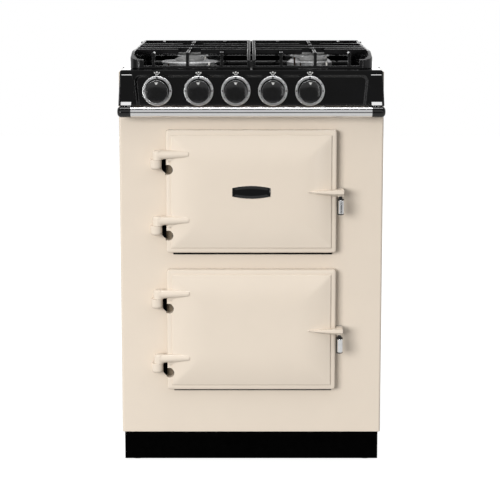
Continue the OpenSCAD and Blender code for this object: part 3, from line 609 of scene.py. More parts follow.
class CookerTones(PropertyGroup):
    """Colours and light."""

    cream: FloatVectorProperty(
        name="Cream", description="Colour of the cream enamel", subtype="COLOR", size=3,
        default=colour("#E2D5C5")[:3], min=0, max=1,
    )
    key_power: FloatProperty(
        name="Key light", description="Power of the key light", default=520, unit="POWER"
    )
    ambient: FloatProperty(
        name="Ambient", description="Strength of the room's soft light", default=0.48, min=0, max=2
    )


# The doors

# Depths in a door's casting: the back and front of its rim, and the foot of its dome
RIM_BACK, RIM_FRONT, DOME_FOOT = -4, -21.3, -22


def edge_reliefs(z):
    """Cutters for the half-round reliefs in the left edge, one under each lug."""
    x, depth, drop, radius, length = -188, -24, 23.5, 11.4, 42
    return [
        add_rod("relief", spot(x, depth, z + foot - drop), radius, length, "y", 40) for foot in LUG_FEET
    ]


def door_slab(name, z):
    """The rim with rounded corners and a rounded front edge, from which it rises a little inwards."""
    sizes = bpy.context.scene.cooker_sizes
    half_w, half_h = sizes.door_width / MM / 2, sizes.door_height / MM / 2
    edge_radius, slope_width, slope_rise = 4, 2.8, 0.7
    slab = add_box(name, -half_w, half_w, RIM_FRONT, RIM_BACK, z - half_h, z + half_h)
    pick(slab, "EDGE", lambda a, b: runs("y", a, b))
    round_picked(sizes.door_corner / MM, 5)
    pick(slab, "EDGE", ahead_of(RIM_FRONT))
    round_picked(edge_radius, 5)
    pick(slab, "FACE", faces_front)
    inset(slope_width, slope_rise)
    cut(slab, *edge_reliefs(z))
    return slab


def dome_rise(share, height):
    """Height of the dome at a share of its border's width."""
    return height * (1 - (1 - share) ** 2)


def door_dome(name, z):
    """The domed middle: rings of faces inset one by one, so that the corners mitre."""
    sizes = bpy.context.scene.cooker_sizes
    rim = sizes.rim_width / MM
    half_w, half_h = sizes.door_width / MM / 2 - rim, sizes.door_height / MM / 2 - rim
    lip, lip_radius, mitre_radius, sunk, face_size = 3.4, 3.1, 4, 2, 20
    front = DOME_FOOT - lip
    dome = add_box(name, -half_w, half_w, front, DOME_FOOT + sunk, z - half_h, z + half_h)
    pick(dome, "EDGE", ahead_of(front))
    round_picked(lip_radius)
    pick(dome, "FACE", faces_front)
    rings = sizes.dome_rings
    height = sizes.dome_height / MM - lip
    for i in range(rings):
        rise = dome_rise((i + 1) / rings, height) - dome_rise(i / rings, height)
        inset(sizes.dome_border / MM / rings, rise)

    def on_mitre(a, b):
        across, up = abs(a.x - b.x), abs(a.z - b.z)
        return max(a.y, b.y) < front + 0.05 and across > 1 and abs(across - up) < NEAR

    # The mitres are rounded, as the pattern for the casting was
    pick(dome, "EDGE", on_mitre)
    round_picked(mitre_radius, 3, clamp=True)
    # Short faces keep the shading of the mitres and the edge reliefs to their own places
    slice_at(dome, "x", range(-8 * face_size, 8 * face_size + 1, face_size))
    slice_at(dome, "z", [z + step * face_size for step in range(-5, 6)])
    cut(dome, *edge_reliefs(z))
    return dome


def hinge_lug(name, foot):
    """A lug: an eye round the pin, a round bar that runs into the dome, and a web under it."""
    axis_z = foot + LUG_H / 2
    eye_radius, eye_round, bar_end, bar_length, bar_middle = 12, 6, 8, 74, 35
    eye = add_rod("eye", spot(PIN_X, PIN_DEPTH, axis_z), eye_radius, LUG_H)
    pick(eye, "EDGE", over(foot + LUG_H))
    round_picked(eye_round, 7)
    work_on()
    # Level along the top, it thins to the right and goes back to the dome
    bpy.ops.mesh.primitive_cone_add(
        vertices=40, radius1=LUG_H / 2 * MM, radius2=bar_end * MM, depth=bar_length * MM,
        location=spot(PIN_X + bar_middle, PIN_DEPTH - 2, axis_z), rotation=TURNED["x"],
    )
    bar = name_new(name)
    pick(bar, "VERT", lambda p: p.x > PIN_X + bar_length / 2)
    shift(depth=-3, z=LUG_H / 2 - bar_end)
    pick(bar, "EDGE", lambda a, b: abs(a.x - b.x) < NEAR)
    round_picked(4, 5, clamp=True)
    # The web narrows to its foot, which stands further back
    left, right, front, back, web_drop = -190, -146, -31, -14, 6
    web = add_box("web", left, right, front, back, foot - web_drop, foot + 2 * web_drop)
    pick(web, "VERT", lambda p: p.z < foot)
    resize(spot(left + 3, 0, foot), x=0.5)
    pick(web, "VERT", lambda p: p.z < foot and p.y < front + 3)
    shift(depth=7)
    soften(web, 3, 4, 25)
    return join(name, bar, eye, web)


def catch_arm(name, z):
    """The catch arm: a spike from the dome that swells into the block over the keeper."""
    front, back, low, high, end = -48, -28, -9, 7, 208.5
    ridge_radius, ridge_back, block_round, block_rise = 4, -31, 2.2, 0.5
    # Places along it, each with the arm's share of its height and how far its front stands back
    stations = {118: (0.1, 16.5), 130: (0.2, 12.5), 145: (0.38, 8.5), 160: (0.55, 5.5), 178: (0.78, 2.5)}
    tip, *cuts = stations
    arm = add_box(name, tip, end, front, back, z + low, z + high)
    block_start = 190
    slice_at(arm, "x", cuts + [block_start])
    # The lower half of the front slopes back underneath
    slice_at(arm, "z", (z - 2,))
    pick(arm, "VERT", lambda p: p.z < z + low + 1 and p.y < front + 1)
    shift(depth=14)
    for x, (share, setback) in stations.items():
        pick(arm, "VERT", lambda p: abs(p.x - x) < NEAR)
        resize(spot(x, 0, z), z=share)
        pick(arm, "VERT", lambda p: abs(p.x - x) < NEAR and p.y < (front + back) / 2)
        shift(depth=setback)
    pick(arm, "EDGE", lambda a, b: min(a.z, b.z) > z + 0.5 and max(a.y, b.y) < ridge_back)
    round_picked(ridge_radius, 5, clamp=True)
    soften(arm, 1.6, 3, 25)
    block = add_box(name + "_block", 193.5, 208.2, -40, -14.5, z + low, z + high + block_rise)
    soften(block, block_round, 3, 32)
    return join(name, arm, block)


class COOKER_OT_doors(Operator):
    """Builds both doors' castings with their hinge lugs, catch arms and lower gaskets, whose black also
    gives the painted shadow line under each door
    """

    bl_idname = "cooker.doors"
    bl_label = "Doors"

    def execute(self, context):
        enamel = ("cream_vitreous_enamel", "cream_enamel")
        for door, z in DOORS.items():
            body = door + "_door"
            shell = body + "_shell"
            shell = join(shell, door_slab(shell, z), door_dome(body + "_dome", z))
            hand_over(shell, body, *enamel, body + "_casting", angle=24, flat=False)
            for i, foot in enumerate(LUG_FEET):
                hand_over(hinge_lug(f"{body}_lug_{i + 1}", z + foot), body, *enamel)
            hand_over(catch_arm(body + "_catch_arm", z), body, *enamel)
            # The black strip is partly painted shade: it draws the dark line under the door
            gasket_shade_line = self.gasket_shade_line(body + "_lower_gasket", z, {"upper": 146.6, "lower": 146.2}[door])
            hand_over(gasket_shade_line, body, "black_rubber_and_shade_line", "black_plastic")
        return {"FINISHED"}

    def gasket_shade_line(self, name, z, drop):
        """The strip of black rubber that shows under a door: a seal, and a painted shadow line there as
        well.
        """
        left, right, front, back, hidden_top = -178, 184, -3.7, -0.9, 132
        gasket_shade_line = add_box(name, left, right, front, back, z - drop, z - hidden_top)
        soften(gasket_shade_line, 1.1, 3, 40)
        return gasket_shade_line


class COOKER_OT_door_handles(Operator):
    """Builds the barrel handles that hang from the catch arms"""

    bl_idname = "cooker.door_handles"
    bl_label = "Door handles"

    def execute(self, context):
        depth, holder_drop, stem_drop = -37, 31.5, 10.5
        # Radius and length of each part
        holder_size, stem_size, barrel_size = (8, 37), (4, 6), (6.4, 31)
        for door, z in DOORS.items():
            body = door + "_door"
            name = body + "_handle_holder"
            holder = add_rod(name, spot(HANDLE_X, depth, z - holder_drop), *holder_size, sides=40)
            soften(holder, 1.8, 3, 40)
            stem_spot = spot(HANDLE_X, depth, z - stem_drop)
            stem = add_rod(body + "_handle_stem", stem_spot, *stem_size, sides=24)
            holder = join(name, holder, stem)
            hand_over(holder, body, "black_phenolic_moulding", "black_plastic", body + "_handle")
            # The chrome barrel stands a little to the right, in front of its holder
            barrel_spot = spot(HANDLE_X + 1.2, depth - 4.6, z - holder_drop)
            barrel = add_rod(body + "_handle_barrel", barrel_spot, *barrel_size)
            pick(barrel, "EDGE", level)
            round_picked(1.6)
            hand_over(barrel, body, "bright_chrome_plate", "chrome")
        return {"FINISHED"}


class COOKER_OT_badge(Operator):
    """Builds the bare badge: a barrel-shaped black plate in a thin chrome rim"""

    bl_idname = "cooker.badge"
    bl_label = "Badge"

    def execute(self, context):
        z = middle("badge_plate")[2]
        half_w, half_h, front, back, waist = 43, 14.6, -36.7, -34.6, 0.33
        badge = add_box("badge_face", -half_w, half_w, front, back, z - half_h, z + half_h)
        columns = [-36, -28, -19, -9, 0, 9, 19, 28, 36]
        slice_at(badge, "x", columns)
        for x in [-half_w] + columns + [half_w]:
            pick(badge, "VERT", lambda p: abs(p.x - x) < NEAR)
            resize(spot(x, 0, z), z=1 - waist * (x / half_w) ** 2)
        pick(badge, "FACE", faces_front)
        for width, rise in ((0.8, 0.25), (2.6, 0.6), (2.6, 0.4), (2.6, 0.2)):
            inset(width, rise)
        badge.data.materials.append(MATERIALS["bright_chrome_plate"])
        pick(badge, "FACE", lambda c, n: c.y < front + NEAR)
        paint_picked(badge, "black_vitreous_enamel")
        soften(badge, 0.3, 2, 50)
        hand_over(badge, "upper_door", "black_vitreous_enamel", "black_enamel", "badge_plate")
        return {"FINISHED"}


# The front


class COOKER_OT_front_plate(Operator):
    """Finishes the cast front plate and the bosses that carry the doors, and paints shade into the gaps and
    reliefs beside them with black blocks and brown-grey pads
    """

    bl_idname = "cooker.front_plate"
    bl_label = "Front plate"

    def execute(self, context):
        plate = merged_copy("front_casting", "front_plate")
        soften(plate, 1.2, 3, 40)
        hand_over(plate, "cabinet", "cream_vitreous_enamel", "cream_enamel", "front_plate")
        bosses, gap_shades, pads = [], [], []
        for z in DOORS.values():
            for foot in LUG_FEET:
                bosses.append(self.boss(z + foot))
                gap_shades.append(self.gap_shade(z + foot))
                pads.append(self.pad(z + foot))
        gap_shades, pads = join("hinge_gap_shades", *gap_shades), join("relief_shade_pads", *pads)
        # The black blocks beside the bosses are painted shade in the gaps there
        hand_over(gap_shades, "cabinet", "satin_black_paint", "black_steel")
        # The brown-grey pads behind the reliefs are painted shade in their hollows
        hand_over(pads, "cabinet", "relief_shade_fibre", "mineral_wool")
        bosses = join("hinge_boss_castings", *bosses)
        soften(bosses, 1.2, 3, 40)
        hand_over(bosses, "cabinet", "cream_vitreous_enamel", "cream_enamel", "hinge_bosses")
        return {"FINISHED"}

    def pad(self, foot):
        """The brown-grey pad behind a relief in the door's edge, painted shade for the shaded hollow of the
        relief.
        """
        left, right, front, back, low, high = -195, -169, -3.5, -0.1, -38, -9
        pad = add_box("pad", left, right, front, back, foot + low, foot + high)
        soften(pad, 0.8, 2, 40)
        return pad

    def boss(self, foot):
        """The boss under a lug, round in front and rounded below."""
        clearance, height, front, to_left, to_right = 0.3, 22, -34.8, 17, 9
        top = foot - clearance
        low = top - height
        boss = add_box("boss", PIN_X - to_left, PIN_X + to_right, front, 0, low, top)
        pick(boss, "EDGE", lambda a, b: runs("z", a, b) and a.y < front + 1)
        round_picked(12, 8)
        pick(boss, "EDGE", lambda a, b: max(a.z, b.z) < low + NEAR and min(a.y, b.y) < -1)
        round_picked(7, 5)
        return boss

    def gap_shade(self, foot):
        """A black block in the gap beside a boss: painted shade, standing where the gap lies in shadow. Its
        foot slopes up to the left under the boss.
        """
        left, right, front, back, low, top, slope = -202, -193.4, -15, -0.1, foot - 33, foot - 1, 9
        gap_shade = add_box("gap_shade", left, right, front, back, low, top)
        pick(gap_shade, "VERT", lambda p: p.x < left + NEAR and p.z < low + NEAR)
        shift(z=slope)
        soften(gap_shade, 0.8, 2, 40)
        return gap_shade


class COOKER_OT_fascia(Operator):
    """Builds the enamelled fascia with its end caps, recess and ledge"""

    bl_idname = "cooker.fascia"
    bl_label = "Fascia"

    def execute(self, context):
        # The ends lean in above the bend, and the ledge runs back from there to the hob
        bend, bend_half_w, top_half_w, wall_back = HOB_Z - 6, 294.33, 294, -6.5
        fascia = add_box(
            "fascia_casting", -HALF_W, HALF_W, FASCIA_FRONT, wall_back, FASCIA_BASE, HOB_Z
        )
        slice_at(fascia, "z", (bend,))
        for z, half in ((bend, bend_half_w), (HOB_Z, top_half_w)):
            pick(fascia, "VERT", lambda p: abs(p.z - z) < NEAR)
            resize(spot(0, 0, z), x=half / HALF_W)
        pick(fascia, "FACE", lambda c, n: n.y > 0.9 and c.z > bend)
        extrude(depth=LEDGE_BACK - wall_back)
        # The ends' upper corners are round, seen from the front
        pick(fascia, "EDGE", lambda a, b: over(HOB_Z)(a, b) and runs("y", a, b))
        round_picked(5.5, 5)
        soften(fascia, 2, 4, 50)
        cut(fascia, self.recess())
        soften(fascia, 2.2, 5, 25)
        enamel = ("black_vitreous_enamel", "black_enamel")
        hand_over(fascia, "cabinet", *enamel, "control_fascia", angle=20)
        pads = join("fascia_end_pads", self.end_pad(-1), self.end_pad(1))
        hand_over(pads, "cabinet", *enamel, angle=20)
        return {"FINISHED"}

    def recess(self):
        """The cutter for the recess: leaning ends, rounded upper corners and sloping walls."""
        half_w, floor_half_w, floor, low, high = 264, 255.5, -12.5, 830, 912.5
        corner, foot_share, floor_drop = 12, 0.975, 3.5
        halfway = (low + high) / 2
        cutter = add_box("recess", -half_w, half_w, FASCIA_FRONT - 1, floor, low, high)
        pick(cutter, "EDGE", lambda a, b: runs("y", a, b) and a.z > halfway)
        round_picked(corner, 6)
        pick(cutter, "VERT", lambda p: p.z < halfway)
        resize(spot(0, 0, low), x=foot_share)
        pick(cutter, "VERT", lambda p: p.y > floor - 0.5)
        resize(spot(0, 0, 0), x=floor_half_w / half_w)
        pick(cutter, "VERT", lambda p: p.y > floor - 0.5 and p.z > halfway)
        shift(z=-floor_drop)
        return cutter

    def end_pad(self, side):
        """A raised pad on an end cap, whose chamfered top catches the light from above."""
        inner, outer, front, top, lean, corner = 262, 296.5, -17.4, 914.5, 4, 3
        between = (inner + outer) / 2
        low, high = sorted((side * inner, side * outer))
        pad = add_box("pad", low, high, front, FASCIA_FRONT + 1, FASCIA_BASE + 5, top)
        pick(pad, "VERT", lambda p: p.z > top - 1 and abs(p.x) > between)
        shift(x=-side * lean)
        pick(pad, "VERT", lambda p: p.z > top - 1 and abs(p.x) < between)
        shift(x=side * lean)
        pick(pad, "EDGE", lambda a, b: runs("y", a, b) and a.z > top - 1)
        round_picked(corner)
        pick(pad, "EDGE", lambda a, b: ahead_of(front)(a, b) and over(top - corner - 1)(a, b))
        round_picked(1.9, 1)
        soften(pad, 0.5, 3, 50)
        return pad


class COOKER_OT_handrail(Operator):
    """Builds the handrail with its bull-nosed brackets"""

    bl_idname = "cooker.handrail"
    bl_label = "Handrail"

    def execute(self, context):
        r = context.scene.cooker_sizes.rail_radius / MM
        length, head_length, inner, outer, arm_low = 537.6, 30, 268.7, 293, 824
        riser_low, riser_top, slope_back, slope_drop = 836, 854, -24.6, 8.6
        rail = add_rod("handrail", spot(0, RAIL_DEPTH, RAIL_Z), r - 0.4, length, "x", 72)
        hand_over(rail, "cabinet", "brushed_stainless_tube", "polished_steel", "handrail_tube")
        ends = []
        for side in (-1, 1):
            head_spot = spot(side * (HALF_W - head_length / 2), RAIL_DEPTH, RAIL_Z)
            head = add_rod("head", head_spot, r, head_length, "x", 56)
            pick(head, "EDGE", lambda a, b: min(side * a.x, side * b.x) > HALF_W - NEAR)
            round_picked(9, 7)
            soften(head, 0.8, 2, 60)
            low, high = sorted((side * inner, side * outer))
            arm = add_box("arm", low, high, RAIL_DEPTH, -0.2, arm_low, FASCIA_BASE - 0.2)
            soften(arm, 1.5, 3, 40)
            # The riser stands before the fascia, and its front slopes down to the head
            riser = add_box(
                "riser", low, high, RAIL_DEPTH - 1, FASCIA_FRONT - 0.2, riser_low, riser_top
            )
            slice_at(riser, "y", (slope_back,))
            pick(riser, "VERT", lambda p: p.y < slope_back + NEAR and p.z > riser_top - 1)
            shift(z=-slope_drop)
            soften(riser, 0.9, 3, 35)
            ends += [head, arm, riser]
        ends = join("handrail_ends", *ends)
        enamel = ("black_vitreous_enamel", "black_enamel")
        hand_over(ends, "cabinet", *enamel, "handrail_brackets", angle=26)
        return {"FINISHED"}


# The knobs

# Depths of a knob's cap and of its bezel's face
CAP_FRONT, CAP_BACK, BEZEL_FRONT = -48.5, -17.9, -20.1


def knob_cap(name, x):
    """A knob: a slightly domed cap on its spindle."""
    r = bpy.context.scene.cooker_sizes.knob_radius / MM
    cap = add_rod(name, spot(x, (CAP_FRONT + CAP_BACK) / 2, KNOB_Z), r, CAP_BACK - CAP_FRONT, "y", 120)
    pick(cap, "EDGE", ahead_of(CAP_FRONT))
    round_picked(1.1)
    pick(cap, "FACE", faces_front)
    for width, rise in ((2.5, 0.55), (4, 0.65), (5, 0.5), (5, 0.3)):
        inset(width, rise)
    depth, radius, length = -3.5, 4, 26
    spindle = add_rod(name + "_spindle", spot(x, depth, KNOB_Z), radius, length, "y", 24)
    return join(name, cap, spindle)


def knob_trim(name, x):
    """The chrome line round the cap, and the printed triangle that points to the marks."""
    r = bpy.context.scene.cooker_sizes.knob_radius / MM
    line_r, line_back, sunk, pointer_r, pointer_drop, pointer_depth = 0.55, 3, 0.1, 4.6, 6, 1.6
    work_on()
    bpy.ops.mesh.primitive_torus_add(
        major_segments=96, minor_segments=10, major_radius=(r - sunk) * MM, minor_radius=line_r * MM,
        location=spot(x, CAP_FRONT + line_back, KNOB_Z), rotation=TURNED["y"],
    )
    trim = name_new(name)
    pointer_spot = spot(x, CAP_FRONT - 0.5, KNOB_Z + r - pointer_drop)
    pointer = add_triangle(name + "_pointer", pointer_spot, pointer_r, pointer_depth)
    soften(pointer, 0.2, 2, 40)
    pointer.data.materials.append(MATERIALS["fired_ceramic_ink"])
    trim.data.materials.append(MATERIALS["bright_chrome_plate"])
    return join(name, trim, pointer)


def flat_dot(name, centre, radius):
    """A small printed dot on the front."""
    dot = add_rod(name, centre, radius, 0.5, "y", 20)
    soften(dot, 0.12, 2, 40)
    return dot


class COOKER_OT_knobs(Operator):
    """Builds the five knobs and their bezels"""

    bl_idname = "cooker.knobs"
    bl_label = "Knobs"

    def execute(self, context):
        for node, x in KNOBS.items():
            body = node.replace("knob", "control")
            cap = knob_cap(node + "_cap", x)
            hand_over(cap, body, "black_phenolic_moulding", "black_plastic", node, angle=32)
            hand_over(knob_trim(node + "_trim", x), body, "bright_chrome_plate", "chrome")
        bezels = join("bezel_rings", *[self.bezel(x) for x in KNOBS.values()])
        hand_over(bezels, "cabinet", "satin_chrome_bezel", "chrome", "knob_bezels", angle=28)
        dots = join("bezel_marks", *[dot for x in KNOBS.values() for dot in self.dots(x)])
        hand_over(dots, "cabinet", "satin_black_paint", "black_enamel")
        return {"FINISHED"}

    def bezel(self, x):
        """A turned ring: a bevelled face round a black well."""
        r = bpy.context.scene.cooker_sizes.bezel_radius / MM
        face_width, bevel_width, bevel_drop, well_depth, height = 6, 1.2, -1.4, 4.2, 7.6
        ring = add_rod("bezel", spot(x, BEZEL_FRONT + height / 2, KNOB_Z), r, height, "y", 96)
        pick(ring, "FACE", faces_front)
        inset(face_width)
        inset(bevel_width, bevel_drop)
        extrude(depth=well_depth)

        def off_axis(p):
            return math.hypot(p.x - x, p.z - KNOB_Z)

        pick(ring, "EDGE", lambda a, b: ahead_of(BEZEL_FRONT)(a, b) and abs(off_axis(a) - r) < 2 * NEAR)
        round_picked(2.2)
        ring.data.materials.append(MATERIALS["satin_chrome_bezel"])
        well_radius = r - face_width - bevel_width
        pick(ring, "FACE", lambda c, n: off_axis(c) < well_radius - 1 and c.y > BEZEL_FRONT + 2)
        paint_picked(ring, "satin_black_paint")
        return ring

    def dots(self, x):
        """The off mark at the top of a bezel and short ticks round it."""
        off_size, side_size, tick_size, ring = 2.1, 1.5, 0.9, 29.7
        found = []
        for turn in (0, 60, 90, 120, 240, 270, 300):
            a = math.radians(turn)
            size = {0: off_size, 90: side_size, 270: side_size}.get(turn, tick_size)
            at = spot(x + ring * math.sin(a), BEZEL_FRONT - 0.05, KNOB_Z + ring * math.cos(a))
            found.append(flat_dot("dot", at, size))
        return found


class COOKER_OT_knob_marks(Operator):
    """Prints a plain generic mark over each knob"""

    bl_idname = "cooker.knob_marks"
    bl_label = "Knob marks"

    def execute(self, context):
        depth, z = FASCIA_FRONT - 0.15, 916.4
        # Each dot's place from the mark's middle, and its radius
        dots = ((-5, 1.5, 1.7), (0, 2.6, 1.9), (5, 1.5, 1.7), (-2.6, -1.4, 1.2), (2.6, -1.4, 1.2))
        marks = []
        for x in KNOBS.values():
            marks += [flat_dot("mark", spot(x + dx, depth, z + dz), r) for dx, dz, r in dots]
            marks.append(add_triangle("mark_arrow", spot(x, depth, z - 3.2), 1.9, 0.5))
            soften(marks[-1], 0.12, 2, 40)
        marks = join("fascia_marks", *marks)
        hand_over(marks, "cabinet", "fired_ceramic_ink", "chrome")
        return {"FINISHED"}


# The hob


class COOKER_OT_hob(Operator):
    """Finishes the pressed hob and the cast pan supports"""

    bl_idname = "cooker.hob"
    bl_label = "Hob"

    def execute(self, context):
        hob = merged_copy("hob_pressing", "hob_top")
        soften(hob, 1.6, 3, 40)
        hand_over(hob, "cabinet", "black_vitreous_enamel", "black_enamel", "hob_top")
        for side in ("left", "right"):
            grate = merged_copy(side + "_grate", side + "_pan_support")
            # The outer side bars have a ridge along their tops
            pick(grate, "EDGE", self.on_side_bar)
            round_picked(2.6, 1, clamp=True)
            soften(grate, 1.4, 3, 50)
            node = side + "_pan_support"
            hand_over(grate, side + "_support", "enamelled_cast_iron", "cast_iron", node)
        return {"FINISHED"}

    def on_side_bar(self, a, b):
        """Whether an edge runs back along the top of an outer side bar."""
        along = abs(a.x - b.x) < 0.05 and abs(a.y - b.y) > 5
        return along and min(a.z, b.z) > SUPPORT_TOP - 0.5 and abs(a.x) > 200


class COOKER_OT_burners(Operator):
    """Builds the four burners' crowns and caps"""

    bl_idname = "cooker.burners"
    bl_label = "Burners"

    def execute(self, context):
        x, front, rear = 144, 160, 395
        # Each burner's place across and in depth, and the radii of its crown and its cap
        burners = ((-x, front, 68.5, 33.5), (x, front, 43, 33.5), (-x, rear, 45, 35.5), (x, rear, 55.5, 46))
        crowns = [self.crown(x, depth, r) for x, depth, r, cap_r in burners]
        caps = [self.cap(x, depth, cap_r) for x, depth, r, cap_r in burners]
        crowns, caps = join("burner_crowns", *crowns), join("burner_lids", *caps)
        hand_over(crowns, "cabinet", "cast_aluminium_burner", "burner_alloy", "burner_heads", angle=28)
        hand_over(caps, "cabinet", "grey_enamel_cap", "cap_enamel", "burner_caps")
        return {"FINISHED"}

    def crown(self, x, depth, r):
        """A sloping skirt, a band, and a wider plate over it."""
        skirt_width, ledge_width, flare = (6, 4, 7) if r > 60 else (9, 3, 5)
        base_h, skirt_h, band_h, throat_h, plate_h = 8, 7.5, 5, 1, 2
        sides = bpy.context.scene.cooker_sizes.burner_sides
        crown = add_rod("crown", spot(x, depth, HEAD_BASE + base_h / 2), r, base_h, "z", sides)
        pick(crown, "FACE", faces_up)
        inset(skirt_width, skirt_h)
        inset(ledge_width, 0.4)
        extrude(z=band_h)
        extrude(z=throat_h)
        spread = 1 + flare / (r - skirt_width - ledge_width)
        resize(spot(x, depth, 0), x=spread, y=spread)
        extrude(z=plate_h)
        inset(2, 1.6)
        inset(4, 0.4)
        return crown

    def cap(self, x, depth, r):
        """A pressed lid with a rolled edge and a domed top."""
        rim_h = 5.4
        cap = add_rod("cap", spot(x, depth, CAP_BASE + rim_h / 2), r, rim_h, "z", 72)
        pick(cap, "EDGE", level)
        round_picked(1.9)
        pick(cap, "FACE", faces_up)
        for width, rise in ((3, 1.5), (6, 2.4), (8, 2.1), (8, 0.9)):
            inset(width, rise)
        return cap


class COOKER_OT_node_finishes(Operator):
    """Gives the carried-over nodes their materials"""

    bl_idname = "cooker.node_finishes"
    bl_label = "Node finishes"

    def execute(self, context):
        for material, nodes in NODE_FINISHES.items():
            for name in nodes:
                node = frame["nodes"][name]
                node.data.materials.clear()
                node.data.materials.append(MATERIALS[material])
        return {"FINISHED"}


# The stage

# Lamps that show only in gloss: over the front, beside the knobs, and two tall slits to the sides.
# Each has its place and target in metres, its width and height, and its power in watts.
GLOSS_LAMPS = {
    "overhead_strip": ((0, -0.48, 2.5), (0, -0.48, 0), 2.6, 0.22, 31),
    "knob_window": ((-0.45, -0.62, 0.83), (-0.21, -0.35, 0.87), 0.07, 0.13, 0.26),
    "left_slit": ((-1.9, -2.6, 1.0), (0, -0.3, 0.85), 0.14, 1.6, 4),
    "right_slit": ((1.15, -3.0, 1.0), (0, -0.3, 0.85), 0.1, 1.6, 3),
}

# Panels of light that gloss sees in the room, by direction. Along each axis a panel starts, is
# full, is still full, and ends. An open end lies beyond every direction.
FROM_OPEN, TO_OPEN = (-2, -1.5), (1.5, 2)
AHEAD = FROM_OPEN + (-0.05, 0.05)
BEHIND = (0, 0.15) + TO_OPEN
FAR_BEHIND = (0.9, 0.95) + TO_OPEN
LIGHT_PANELS = (
    # In front of the cooker, above and to the left of the camera
    {"level": 0.75, "X": (-0.8, -0.65, 0.3, 0.45), "Y": AHEAD, "Z": (0.03, 0.1, 0.64, 0.7)},
    {"level": 0.6, "X": (-0.9, -0.75, -0.45, -0.3), "Y": AHEAD, "Z": (-0.7, -0.6, 0.2, 0.3)},
    # At the right
    {"level": 0.5, "X": (0.5, 0.6) + TO_OPEN, "Z": (-0.7, -0.6, 0.3, 0.4)},
    # Behind, with a dark strip in the middle, over which the hob's middle bars stay black
    {"level": 0.65, "X": FROM_OPEN + (-0.05, -0.03), "Y": BEHIND, "Z": (-0.3, -0.2, 0.84, 0.9)},
    {"level": 0.65, "X": (0.03, 0.05) + TO_OPEN, "Y": BEHIND, "Z": (-0.3, -0.2, 0.84, 0.9)},
    # Low down behind, for the hob's bare side margins
    {"level": 1.8, "X": (-0.3, -0.2, -0.07, -0.05), "Y": FAR_BEHIND, "Z": (-0.02, 0.02, 0.2, 0.25)},
    {"level": 1.8, "X": (0.05, 0.07, 0.2, 0.3), "Y": FAR_BEHIND, "Z": (-0.02, 0.02, 0.2, 0.25)},
    # Overhead
    {"level": 0.8, "Z": (0.955, 0.985) + TO_OPEN},
)


def area_light(name, place, target, width, height, power):
    work_on()
    bpy.ops.object.light_add(type="AREA", location=place)
    lamp = bpy.context.object
    lamp.name = name
    lamp.data.shape = "RECTANGLE"
    lamp.data.size, lamp.data.size_y = width, height
    lamp.data.energy = power
    lamp.rotation_euler = (Vector(target) - Vector(place)).to_track_quat("-Z", "Y").to_euler()
    lamp.visible_camera = False
    return lamp


def outputs_of(tree, kind, links=None, **settings):
    """Adds a node and gives its outputs."""
    return add_node(tree, kind, links, **settings).outputs


